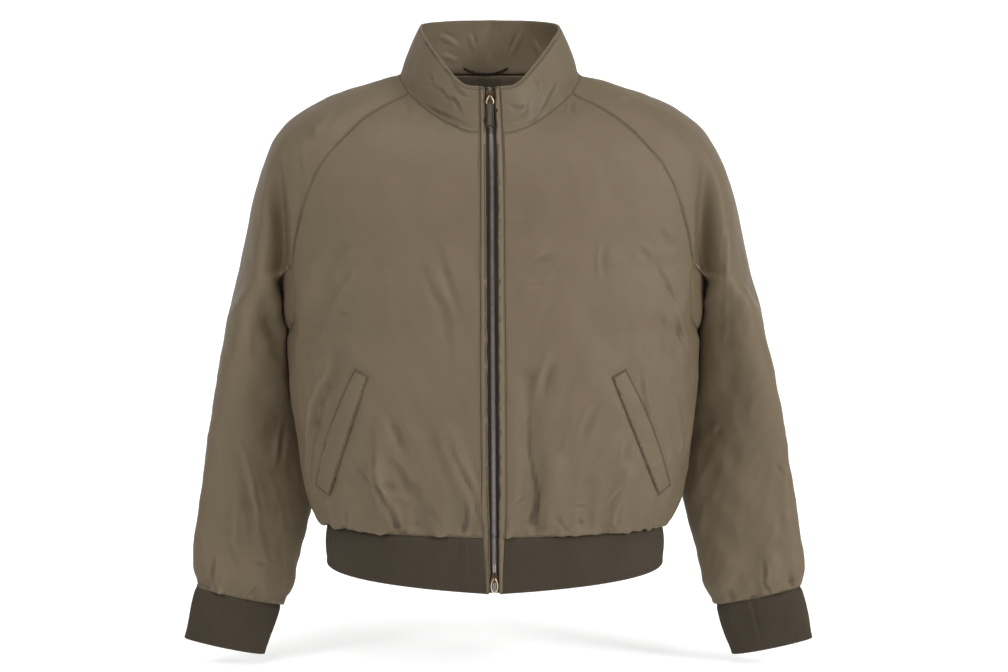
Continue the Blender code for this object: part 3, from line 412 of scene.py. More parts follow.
backRaglan = table(
    "x y z turn rise centreY centreZ",
    (80, 54, 9, 41, 0.0, 82, 9),
    (118, 85, -12, 30, 0.0, 100, -26),
    (145, 99, -38, 22, 0.0, 108, -52),
    (168, 106, -66, 20, 0.0, 113, -78),
    (188, 107, -95, 22, 0.0, 115, -103),
    (204, 103, -124, 26, 0.0, 117, -128),
    (217, 96, -150, 30, 0.0, 118, -155),
    (228, 86, -178, 38, 0.0, 119, -183),
    (236, 74, -206, 45, 0.0, 119, -210),
    (243, 60, -230, 52, 0.0, 119, -236),
)
crest = table(
    "x y z",
    (104, -23, -12), (144, -46, -28), (176, -57, -43), (208, -64, -62), (234, -63, -85),
    (249, -57, -107), (249, -56, -136), (247, -55, -167), (248, -48, -199), (252, -34, -229),
    (267, -12, -254),
)
valley = table(
    "x y z",
    (107, -17, -7), (147, -36, -21), (181, -45, -35), (215, -51, -53), (242, -49, -76),
    (257, -42, -99), (258, -35, -131), (256, -27, -165), (256, -19, -202), (260, -15, -233),
    (272, -31, -252),
)
frontLine = table(
    "x y z",
    (109, -11, -2), (149, -24, -14), (185, -30, -27), (221, -33, -44), (250, -31, -66),
    (267, -31, -91), (274, -34, -126), (279, -37, -162), (283, -40, -203), (286, -42, -232),
    (291, -43, -252),
)
crown = table(
    "x y z",
    (110, -2, 4), (150, 2, -5.5), (188, 8, -17.5), (227, 11, -35), (257, 13, -56),
    (276, 16, -82), (292, 21, -117), (305, 30, -158), (317, 37, -210), (323, 38, -238),
    (329, 36, -262),
)
backLine = table(
    "x y z",
    (103, 24, 6), (143, 52, -4), (178, 64, -19), (214, 71, -40), (242, 76, -66),
    (263, 80, -96), (277, 86, -130), (286, 92, -168), (291, 99, -210), (292, 103, -240),
    (290, 106, -262),
)
backHollow = table(
    "x y z",
    (93, 41, 8), (132, 71, -7), (163, 86, -27), (193, 93, -52), (217, 98, -80),
    (236, 99, -110), (249, 98, -141), (257, 96, -174), (262, 94, -208), (263, 91, -238),
    (259, 76, -260),
)
stations = (0.0, 0.13, 0.21, 0.32, 0.53, 0.76, 0.88, 1.0)
underarm = (268, 12, -256)
capSteps = (2, 2, 2, 1, 1, 1, 2, 2, 1, 4)
rings = table(
    "steps z x y long short lean tilt",
    (1, -290, 299.5, 34, 77, 34, 7, 0),
    (2, -318, 298.5, 37, 80, 36, 14, 0),
    (2, -360, 298.5, 42, 82, 40, 24, 0),
    (2, -404, 298.5, 48, 81, 41, 37, 0),
    (2, -448, 297.5, 50, 80, 37, 54, 0),
    (2, -492, 300.0, 47, 78, 31, 66, 0),
    (2, -540, 309.0, 42, 74, 27, 73, 1),
    (1, -588, 318.5, 38, 70, 26, 76, 5),
    (1, -612, 323.0, 34, 68, 26, 77, 8),
    (1, -632, 326.0, 31, 66, 24, 78, 11),
    (0, -653, 331.0, 28, 54, 16, 79, 15),
)
cuffRings = table(
    "z x y long short lean tilt",
    (-653, 331.0, 28, 54, 16, 79, 15),
    (-685, 340.5, 27, 51, 15, 79, 15),
    (-718, 349.5, 26, 51, 15, 80, 14),
)
rim = table(
    "share x y z",
    (0.00, 12.8, -96, -14),
    (0.10, 30, -91, -11),
    (0.24, 55, -67, 15),
    (0.40, 78.5, -34, 48),
    (0.53, 86, -6, 63),
    (0.68, 79, 28, 71),
    (0.84, 46, 58, 76),
    (1.00, 0, 70, 78),
)
form = {
    # "edge" is the half width of the zip's opening and "sway" a shift in X, both by height;
    # "plackets" is the half distance between the strips' free edges.
    "fullness": 0.60, "plackets": 6.6, "gussetBulge": 0.5, "collarBow": 3.0, "bowStart": 40.0,
    "edgeZ": (-630, -580, -530, -350, -100, -10), "edgeX": (10.2, 10.6, 13.4, 14.0, 14.4, 12.8),
    "swayZ": (-720, -640, -450, -250, -100, 0), "bodySway": (3.5, 3.5, 2.5, 1.2, 0.3, -2.5),
    "sleeveSway": (4.5, 4.5, 3.0, 0.0, 0.0, 0.0), "capSway": (0.0, 0.0, 1.0, 2.0, 1.5, 0.0),
    "capFrom": 270.0, "capFull": 300.0,
    "ribFoot": {"x": 211.5, "y": 3, "sideZ": -604, "frontY": -102, "frontZ": -627, "backY": 92,
                "backZ": -626},
}


def limitedSlope(before, after):
    if before * after <= 0:
        return 0.0
    steepest = 3.0 * min(abs(before), abs(after))
    return max(-steepest, min(steepest, 0.5 * (before + after)))


def smooth(values, at, stops=None):
    # A monotone cubic through values at 0, 1, 2... or at the given stops.
    if stops is None:
        stops = range(len(values))
    last = len(values) - 1
    low = 0
    while low < last - 1 and at > stops[low + 1]:
        low += 1

    def rateFrom(index):
        return (values[index + 1] - values[index]) / (stops[index + 1] - stops[index])

    rate = rateFrom(low)
    slopeLow, slopeHigh = rate, rate
    if low > 0:
        slopeLow = limitedSlope(rateFrom(low - 1), rate)
    if low < last - 1:
        slopeHigh = limitedSlope(rate, rateFrom(low + 1))
    span = stops[low + 1] - stops[low]
    t = (at - stops[low]) / span
    return (
        values[low] * (1 + 2 * t) * (1 - t) ** 2 + slopeLow * span * t * (1 - t) ** 2
        + values[low + 1] * t * t * (3 - 2 * t) + slopeHigh * span * t * t * (t - 1)
    )


def smoothPoint(points, at, stops=None):
    return Vector([smooth([point[axis] for point in points], at, stops) for axis in range(3)])


def read(rows, name, at):
    return smooth([row[name] for row in rows], at)


def pointOf(rows, at):
    return Vector([read(rows, name, at) for name in ("x", "y", "z")])


def stopsOf(steps):
    # Where the cage's rows fall between the rows of a table.
    stops = []
    for index, count in enumerate(steps):
        stops += [index + part / (count * finer) for part in range(count * finer)]
    return stops + [float(len(steps))]


def panelRow(start, end, turn, rise, columns):
    # Leaves the centre line along X and meets the seam at the angle `turn` in plan.
    angle = math.radians(turn)
    depth = end.y - start.y
    endReach = abs(depth) / math.sin(angle)
    startReach = end.x - start.x - endReach * math.cos(angle)
    heading = Vector((math.cos(angle), math.copysign(math.sin(angle), depth), rise))
    first = start + Vector((form["fullness"] * startReach, 0, 0))
    last = end - form["fullness"] * endReach * heading
    if rise == 0:
        first.z = start.z + (end.z - start.z) / 3
        last.z = start.z + (end.z - start.z) * 2 / 3
    row = []
    for column in range(columns + 1):
        t = column / columns
        point = start * (1 - t) ** 3 + first * 3 * t * (1 - t) ** 2
        row.append(point + last * 3 * t * t * (1 - t) + end * t ** 3)
    return row


def even(points, parts):
    # Points in even steps along a line.
    lengths = [0.0]
    for here, there in zip(points, points[1:]):
        lengths.append(lengths[-1] + (there - here).length)
    result = []
    index = 0
    for part in range(parts + 1):
        target = lengths[-1] * part / parts
        while index < len(points) - 2 and lengths[index + 1] < target:
            index += 1
        share = (target - lengths[index]) / (lengths[index + 1] - lengths[index])
        result.append(points[index].lerp(points[index + 1], share))
    return result


def oval(row, columns):
    # One sleeve section, from its innermost point by the front, in even steps of length.
    lean = math.radians(row["lean"])
    along = Vector((-math.sin(lean), math.cos(lean), 0))
    across = Vector((-math.cos(lean), -math.sin(lean), 0))
    centre = Vector((row["x"], row["y"], row["z"]))
    slope = math.tan(math.radians(row["tilt"]))
    loop = []
    for step in range(360):
        angle = 2 * math.pi * step / 360
        offset = along * row["long"] * math.cos(angle) + across * row["short"] * math.sin(angle)
        offset.z = offset.x * slope
        loop.append(centre + offset)
    inner = min(range(360), key=lambda step: loop[step].x)
    return even(loop[inner:] + loop[:inner + 1], columns)


def edgeAt(height):
    stops = form["edgeZ"]
    return smooth(form["edgeX"], max(stops[0], min(stops[-1], height)), stops)


def mirrored(row):
    return [Vector((-point.x, point.y, point.z)) for point in row]


def swayed(row, sleeve=False):
    stops = form["swayZ"]
    moved = []
    for point in row:
        level = max(stops[0], min(stops[-1], point.z))
        shift = smooth(form["bodySway"], level, stops)
        if sleeve:
            shift += smooth(form["sleeveSway"], level, stops)
            weight = (abs(point.x) - form["capFrom"]) / (form["capFull"] - form["capFrom"])
            shift += smooth(form["capSway"], level, stops) * max(0.0, min(1.0, weight))
        moved.append(point + Vector((shift, 0, 0)))
    return moved


def sleeveRows():
    # From the neck to the cuff: guide lines over the cap, then tilted ovals.
    guides = [frontRaglan, crest, valley, frontLine, crown, backLine, backHollow, backRaglan]
    columns = cage["sleeve"]
    keys = []
    for level in range(len(crest)):
        points = []
        for guide in guides:
            if level < len(guide):
                points.append(Vector([guide[level][name] for name in ("x", "y", "z")]))
            else:
                points.append(Vector(underarm))
        keys.append([smoothPoint(points, column / columns, stations) for column in range(columns + 1)])
    keys += [oval(row, columns) for row in rings]
    steps = list(capSteps) + [2] + [row["steps"] for row in rings[:-1]]
    rows = []
    for stop in stopsOf(steps):
        row = [smoothPoint([key[column] for key in keys], stop) for column in range(columns + 1)]
        if stop >= len(capSteps):
            row[-1] = row[0].copy()
        rows.append(row)
    return rows


def bodyRows(sleeve, front):
    # Rows of the right front, or of the back's right half, from the hem to the neck.
    startX = edgeAt if front else (lambda height: 0.0)
    columns = cage["front"] if front else cage["backHalf"]
    word = "front" if front else "back"
    gusset = gussetFront if front else gussetBack
    raglan = frontRaglan if front else backRaglan
    rows = []
    for stop in stopsOf([row["steps"] for row in side[:-1]]):
        height = read(side, word + "Z", stop)
        start = Vector((startX(height), read(side, word + "Y", stop), height))
        rows.append(panelRow(start, pointOf(side, stop), 90, 0, columns))
    for step in range(1, cage["gusset"] + 1):
        stop = (len(gusset) - 1) * step / cage["gusset"]
        height = read(gusset, "centreZ", stop)
        start = Vector((startX(height), read(gusset, "centreY", stop), height))
        rows.append(panelRow(start, pointOf(gusset, stop), read(gusset, "turn", stop), 0, columns))
    capStops = stopsOf(capSteps[:-1])
    for index in reversed(range(len(capStops) - 1)):
        stop = capStops[index]
        height = read(raglan, "centreZ", stop)
        start = Vector((startX(height), read(raglan, "centreY", stop), height))
        seam = sleeve[index][0 if front else -1]
        rows.append(panelRow(start, seam, read(raglan, "turn", stop), read(raglan, "rise", stop), columns))
    corner = len(rows) - len(capStops)
    rows[corner][-1] = sleeve[len(capStops) - 1][0 if front else -1].copy()
    return rows


def gussetRows(front, back, sleeve):
    # A four-sided patch between its lower edges on the body and its upper edges on the sleeve.
    count = cage["gusset"]
    bottom = sum(row["steps"] for row in side) * finer
    top = sum(capSteps[:-1]) * finer
    steps = range(count + 1)
    frontLow = [front[bottom + step][-1] for step in steps]
    backLow = [back[bottom + step][-1] for step in steps]
    frontHigh = [sleeve[top + step][0] for step in steps]
    backHigh = [sleeve[top + step][-1] for step in steps]
    rows = []
    for i in steps:
        u = i / count
        row = []
        for j in steps:
            v = j / count
            ruled = frontLow[j] * (1 - u) + backHigh[j] * u + backLow[i] * (1 - v) + frontHigh[i] * v
            lower = frontLow[0] * (1 - u) + backLow[-1] * u
            upper = frontLow[-1] * (1 - u) + frontHigh[-1] * u
            row.append(ruled - lower * (1 - v) - upper * v)
        rows.append(row)
    bent = [[point.copy() for point in row] for row in rows]
    for i in range(1, count):
        for j in range(1, count):
            share = (i + j) / (2 * count)
            at = share * count
            low = rows[math.floor(at)][math.floor(at)]
            high = rows[math.ceil(at)][math.ceil(at)]
            sunk = low.lerp(high, at - math.floor(at))
            target = frontLow[0].lerp(frontHigh[-1], share)
            target.x += form["gussetBulge"] * 4 * share * (1 - share)
            weight = i * j * (count - i) * (count - j) / (at * at * (count - at) ** 2)
            bent[i][j] = rows[i][j] + (target - sunk) * weight
    return bent


def collarRows(seam):
    # From the neck seam to the rim, bowed out a little.
    lengths = [0.0]
    for here, there in zip(seam, seam[1:]):
        lengths.append(lengths[-1] + (there - here).length)
    stops = [row["share"] for row in rim]
    top = [Vector((row["x"], row["y"], row["z"])) for row in rim]
    rows = [seam]
    for level in range(1, cage["collar"] + 1):
        share = level / cage["collar"]
        row = []
        for point, length in zip(seam, lengths):
            end = smoothPoint(top, length / lengths[-1], stops)
            outward = Vector((point.x, point.y, 0)).normalized()
            bow = form["collarBow"] * 4 * share * (1 - share) * min(1.0, length / form["bowStart"])
            row.append(point.lerp(end, share) + outward * bow)
        rows.append(row)
    return rows


def ribRows(seam):
    # From the hem rib's foot up to its seam.
    foot = form["ribFoot"]
    middle = Vector((foot["x"], foot["y"], foot["sideZ"]))
    front = Vector((edgeAt(foot["frontZ"]), foot["frontY"], foot["frontZ"]))
    back = Vector((0, foot["backY"], foot["backZ"]))
    low = panelRow(front, middle, 90, 0, cage["front"])
    low += panelRow(back, middle, 90, 0, cage["backHalf"])[::-1][1:]
    count = cage["rib"]
    return [[a.lerp(b, level / count) for a, b in zip(low, seam)] for level in range(count + 1)]


def cuffRows(seam):
    count = cage["cuff"]
    keys = [seam] + [oval(row, cage["sleeve"]) for row in cuffRings[1:]]
    rows = []
    for level in range(count + 1):
        at = 2 * level / count
        rows.append([smoothPoint([key[column] for key in keys], at) for column in range(cage["sleeve"] + 1)])
        rows[-1][-1] = rows[-1][0].copy()
    return rows


class Skin:
    # Patches of faces over one welded list of points, each corner with its place on the cut cloth.
    def __init__(self):
        self.points, self.cells, self.faces, self.flats, self.owners = [], {}, [], [], []
        self.names = []

    def index(self, point):
        cell = [math.floor(value * 20) for value in point]
        for a in (-1, 0, 1):
            for b in (-1, 0, 1):
                for c in (-1, 0, 1):
                    for other in self.cells.get((cell[0] + a, cell[1] + b, cell[2] + c), ()):
                        if (self.points[other] - point).length < 0.01:
                            return other
        self.points.append(point.copy())
        self.cells.setdefault(tuple(cell), []).append(len(self.points) - 1)
        return len(self.points) - 1

    def add(self, name, rows, flip, sideways=0.0):
        # `sideways` is the share of a row where its flat place is 0.
        self.names.append(name)
        ids = [[self.index(point) for point in row] for row in rows]
        flat = []
        rise = 0.0
        for level, row in enumerate(rows):
            if level:
                middle = len(row) // 2
                rise += (row[middle] - rows[level - 1][middle]).length
            runs = [0.0]
            for here, there in zip(row, row[1:]):
                runs.append(runs[-1] + (there - here).length)
            flat.append([(run - runs[-1] * sideways, rise) for run in runs])
        for i in range(len(ids) - 1):
            for j in range(len(ids[i]) - 1):
                corners = [(i, j), (i, j + 1), (i + 1, j + 1), (i + 1, j)]
                if flip:
                    corners.reverse()
                ring = [ids[a][b] for a, b in corners]
                if len(set(ring)) < 4:
                    keep = [k for k in range(4) if ring[k] != ring[k - 1]]
                    corners = [corners[k] for k in keep]
                    ring = [ring[k] for k in keep]
                self.faces.append(ring)
                self.flats.append([flat[a][b] for a, b in corners])
                self.owners.append(len(self.names) - 1)


def buildCage():
    sleeve = sleeveRows()
    front = bodyRows(sleeve, True)
    backHalf = bodyRows(sleeve, False)
    gusset = gussetRows(front, backHalf, sleeve)
    back = [mirrored(row)[::-1][:-1] + row for row in backHalf]
    neck = front[-1] + sleeve[0][1:] + backHalf[-1][::-1][1:]
    collar = [row + mirrored(row)[::-1][1:] for row in collarRows(neck)]
    hem = front[0] + backHalf[0][::-1][1:]
    rib = [row + mirrored(row)[::-1][1:] for row in ribRows(hem)]
    cuff = cuffRows(sleeve[-1])
    edge = [row[0] for row in rib] + [row[0] for row in front[1:]] + [row[0] for row in collar[1:]]
    placket = [[Vector((form["plackets"], point.y, point.z)), point] for point in edge]
    skin = Skin()
    for name, rows, flip, sideways in (
        ("front", front, False, 0.0), ("gusset", gusset, True, 0.5), ("sleeve", sleeve, True, 0.5),
        ("cuff", cuff, True, 0.5), ("placket", placket, False, 0.0),
    ):
        sleeved = name in ("sleeve", "cuff")
        skin.add(name + "Right", [swayed(row, sleeved) for row in rows], flip, sideways)
        skin.add(name + "Left", [swayed(mirrored(row), sleeved) for row in rows], not flip, sideways)
    skin.add("back", [swayed(row) for row in back], True, 0.5)
    skin.add("collar", [swayed(row) for row in collar], False, 0.5)
    skin.add("rib", [swayed(row) for row in rib], False, 0.5)
    return skin, swayed([Vector((0, point.y, point.z)) for point in edge])


def deselectAll():
    for thing in bpy.context.selected_objects:
        thing.select_set(False)


def makeActive(thing):
    deselectAll()
    thing.select_set(True)
    bpy.context.view_layer.objects.active = thing


def subdividedSkin(skin):
    # Two rounds of subdivision give cells of about 3 mm.
    mesh = bpy.data.meshes.new("skin")
    mesh.from_pydata([tuple(point) for point in skin.points], [], skin.faces)
    flat = mesh.uv_layers.new(name="flat")
    flat.data.foreach_set("uv", np.array([uv for face in skin.flats for uv in face], dtype=float).ravel())
    owner = mesh.attributes.new("owner", "INT", "FACE")
    owner.data.foreach_set("value", skin.owners)
    thing = bpy.data.objects.new("skin", mesh)
    bpy.context.scene.collection.objects.link(thing)
    makeActive(thing)
    modifier = thing.modifiers.new("rounder", "SUBSURF")
    modifier.levels = modifier.render_levels = 2
    bpy.ops.object.modifier_apply(modifier=modifier.name)
    mesh = thing.data
    points = np.empty(len(mesh.vertices) * 3)
    mesh.vertices.foreach_get("co", points)
    faces = np.empty(len(mesh.loops), dtype=int)
    mesh.loops.foreach_get("vertex_index", faces)
    flats = np.empty(len(mesh.loops) * 2)
    mesh.uv_layers["flat"].data.foreach_get("uv", flats)
    owners = np.empty(len(mesh.polygons), dtype=int)
    mesh.attributes["owner"].data.foreach_get("value", owners)
    bpy.data.objects.remove(thing)
    return points.reshape(-1, 3), faces.reshape(-1, 4), flats.reshape(-1, 4, 2), owners


def normalsOf(points, faces):
    a, b, c, d = (points[faces[:, k]] for k in range(4))
    each = np.cross(c - a, d - b)
    total = np.zeros_like(points)
    for k in range(4):
        np.add.at(total, faces[:, k], each)
    return total / np.maximum(np.linalg.norm(total, axis=1), 1e-9)[:, None]


skin, centreLine = buildCage()
points, faces, flats, owners = subdividedSkin(skin)
names = skin.names
print("skin of", len(faces), "cells")


# Broad folds of the body and sleeves: side faced, line in X and Z, half width, height.
broadBody = (
    (-1, -188, -347, -213, -425, 24, -4.5), (-1, -129, -413, -140, -486, 22, 3.0),
    (-1, -142, -478, -119, -541, 20, 6.0), (-1, -98, -500, -92, -538, 18, -3.5),
    (-1, -54, -431, -20, -528, 22, 4.5), (-1, -179, -505, -179, -540, 18, 4.5),
    (-1, 44, -365, 50, -540, 20, -5.0), (-1, 76, -470, 68, -538, 20, 4.5),
    (-1, 118, -495, 116, -538, 18, -3.5), (-1, 167, -485, 150, -540, 20, 6.0),
    (-1, 198, -236, 219, -274, 22, -3.0), (-1, 205, -300, 228, -330, 22, -3.0),
    (-1, -205, -255, -220, -300, 22, -3.0), (-1, 90, -300, 160, -400, 34, 2.5),
    (-1, -70, -260, -140, -360, 34, 2.5), (1, -170, -470, -160, -540, 22, 5.0),
    (1, -122, -490, -122, -540, 20, -4.0), (1, -75, -450, -70, -540, 22, 4.5),
    (1, -20, -490, -24, -540, 20, -4.0), (1, 40, -440, 34, -540, 22, 5.0),
    (1, 95, -495, 98, -540, 20, -4.0), (1, 150, -460, 142, -540, 22, 5.0),
    (1, 200, -250, 120, -330, 30, -4.0), (1, -205, -240, -110, -300, 30, -4.0),
    (1, 60, -300, -80, -380, 32, 3.0),
)
broadSleeve = (
    (-1, 300, -150, 306, -320, 24, 1.4), (-1, 330, -330, 290, -395, 28, -1.2),
    (-1, 350, -420, 305, -465, 28, -1.3), (-1, 300, -500, 356, -555, 26, 1.8),
    (-1, 285, -565, 335, -605, 24, -2.0), (-1, 298, -610, 292, -640, 20, 3.0),
    (-1, 350, -605, 347, -640, 18, 3.2), (1, 330, -300, 272, -370, 30, -3.6),
    (1, 282, -420, 352, -475, 30, 3.2), (1, 356, -520, 292, -575, 28, -3.2),
    (1, 340, -595, 335, -635, 20, 3.4), (1, 300, -615, 303, -645, 18, 3.2),
)

# Creases: v a trough, r a ridge; half width; depth; how it ends ("both" fades at both ends, "foot"
# stays full at its last point); then its line, in X and Z for "front" and "back" and in Y and Z
# for the outer and inner faces of a sleeve.
bodyCreases = (
    ("v", 2.5, 1.5, "both", (-100, -26), (-99, -54)),
    ("v", 12, 2, "both", (-171, -200), (-206, -235), (-209, -248)),
    ("r", 8, 1.5, "both", (-140, -207), (-188, -274), (-203, -302)),
    ("v", 2.5, 1.5, "both", (-188, -284), (-168, -289)),
    ("v", 8, 2, "both", (-94, -207), (-73, -256), (-57, -285), (-53, -329), (-45, -369)),
    ("v", 7, 1.8, "both", (-70, -193), (-53, -246), (-35, -306)),
    ("v", 8, 4, "both", (-189, -318), (-187, -346), (-195, -372), (-206, -389), (-215, -424),
     (-223, -460), (-228, -497)),
    ("v", 5, 4.5, "foot", (-155, -406), (-144, -430), (-144, -466), (-141, -493), (-131, -514),
     (-122, -527), (-116, -545)),
    ("v", 5, 2, "both", (-176, -455), (-159, -481), (-142, -497), (-128, -514)),
    ("r", 6, 2, "both", (-128, -514), (-108, -507), (-91, -520)),
    ("v", 8, 2, "both", (-141, -386), (-124, -416), (-108, -452), (-101, -473)),
    ("v", 8, 2, "both", (-129, -460), (-114, -476), (-95, -507)),
    ("v", 3, 1.2, "both", (-184, -500), (-170, -506)),
    ("v", 3.5, 3.5, "foot", (-180, -521), (-177, -546)),
    ("v", 8, 1.2, "both", (-131, -499), (-111, -493)),
    ("v", 5, 3, "both", (-54, -428), (-47, -451), (-37, -471), (-24, -498), (-16, -522)),
    ("v", 3, 1, "both", (-77, -395), (-57, -428)),
    ("v", 4, 3.5, "foot", (-37, -505), (-31, -519), (-32, -539), (-34, -550)),
    ("v", 4, 2, "both", (-21, -505), (-16, -533)),
    ("v", 8, 1.2, "both", (-84, -520), (-65, -540), (-74, -551)),
    ("v", 2, 0.8, "both", (-97, -375), (-74, -373)),
    ("v", 2.5, 1.2, "both", (-205, -465), (-187, -467)),
    ("v", 2.5, 1.2, "both", (-209, -483), (-190, -486)),
    ("v", 2.5, 1.2, "both", (-206, -493), (-184, -490)),
    ("v", 1.8, 1, "foot", (-198, -513), (-206, -544)),
    ("v", 4, 3, "both", (196, -227), (210, -248), (223, -279)),
    ("v", 6, 1.5, "both", (175, -207), (192, -224)),
    ("v", 8, 1.5, "both", (199, -184), (220, -214)),
    ("v", 5, 2.5, "both", (219, -282), (229, -310), (242, -331)),
    ("v", 5, 1, "both", (206, -285), (209, -316)),
    ("v", 4, 1, "both", (180, -321), (184, -345)),
    ("v", 5, 1.5, "both", (135, -200), (135, -247)),
    ("v", 6, 1.5, "both", (31, -246), (54, -226), (81, -216)),
    ("v", 3, 1, "both", (35, -253), (78, -248)),
    ("v", 2.5, 1.5, "both", (98, -26), (96, -50)),
    ("v", 3.4, 3.5, "foot", (38, -352), (45, -372), (45, -418), (46, -455), (55, -506), (52, -539)),
    ("v", 8, 2, "both", (86, -311), (68, -368), (58, -415)),
    ("v", 7, 2, "both", (141, -389), (125, -405), (108, -448)),
    ("v", 5, 2, "both", (172, -434), (164, -454), (159, -471)),
    ("v", 4, 4, "foot", (161, -515), (154, -532), (156, -542)),
    ("v", 3, 1.5, "both", (161, -495), (146, -515), (142, -528)),
    ("v", 4, 4, "foot", (50, -506), (53, -519), (46, -540)),
    ("v", 3, 1.5, "both", (25, -519), (41, -506)),
    ("v", 3, 1.5, "both", (98, -517), (115, -521)),
    ("v", 3, 2, "foot", (105, -531), (109, -541)),
    ("v", 4, 2, "foot", (75, -525), (89, -547)),
    ("v", 4, 3, "both", (179, -354), (186, -394), (193, -419)),
    ("v", 8, 2, "both", (207, -375), (231, -474)),
    ("v", 2.5, 1.2, "both", (184, -460), (201, -462)),
    ("v", 2.5, 1.2, "both", (194, -481), (212, -480)),
    ("v", 2.5, 1.2, "both", (209, -502), (220, -501)),
    ("v", 2.5, 1.2, "both", (185, -452), (190, -429)),
    ("v", 1.8, 1, "foot", (209, -514), (212, -544)),
)
backCreases = (
    ("v", 10, 3, "both", (196, -220), (160, -262), (112, -296)),
    ("v", 6, 2.2, "both", (206, -252), (178, -300), (150, -330)),
    ("r", 9, 2, "both", (190, -250), (150, -292), (104, -318)),
    ("v", 9, 2.8, "both", (-200, -214), (-158, -258), (-118, -280)),
    ("v", 5, 2.2, "both", (-208, -256), (-186, -306), (-166, -338)),
    ("v", 9, 2, "both", (60, -96), (20, -112), (-34, -108)),
    ("v", 6, 1.5, "both", (-86, -74), (-64, -118), (-58, -160)),
    ("v", 6, 1.4, "both", (96, -84), (74, -130), (70, -176)),
    ("v", 9, 2.2, "both", (30, -196), (8, -268), (-22, -336)),
    ("v", 7, 2, "both", (-84, -300), (-62, -362), (-58, -420)),
    ("v", 8, 2.4, "both", (118, -352), (92, -410), (84, -470)),
    ("r", 10, 2, "both", (-126, -350), (-112, -420), (-100, -480)),
    ("v", 5, 3.6, "foot", (-152, -430), (-146, -480), (-152, -544)),
    ("v", 4.5, 3.2, "foot", (-100, -462), (-94, -506), (-99, -545)),
    ("v", 4, 3, "foot", (-48, -480), (-52, -514), (-46, -546)),
    ("v", 5, 3.4, "foot", (6, -440), (2, -496), (8, -546)),
    ("v", 4, 3, "foot", (62, -476), (68, -512), (63, -546)),
    ("v", 5, 3.6, "foot", (120, -446), (114, -498), (120, -545)),
    ("v", 4.5, 3.2, "foot", (172, -462), (176, -506), (170, -543)),
    ("v", 5, 2.4, "both", (-214, -380), (-196, -430), (-198, -470)),
    ("v", 5, 2.2, "both", (222, -372), (206, -424), (204, -462)),
    ("v", 3, 1.4, "foot", (-124, -516), (-128, -546)),
    ("v", 3, 1.4, "foot", (-22, -520), (-18, -547)),
    ("v", 3, 1.4, "foot", (90, -522), (94, -546)),
    ("v", 3, 1.6, "foot", (34, -526), (36, -547)),
    ("v", 3, 1.6, "foot", (-74, -524), (-72, -546)),
    ("v", 3, 1.5, "foot", (146, -522), (143, -545)),
)
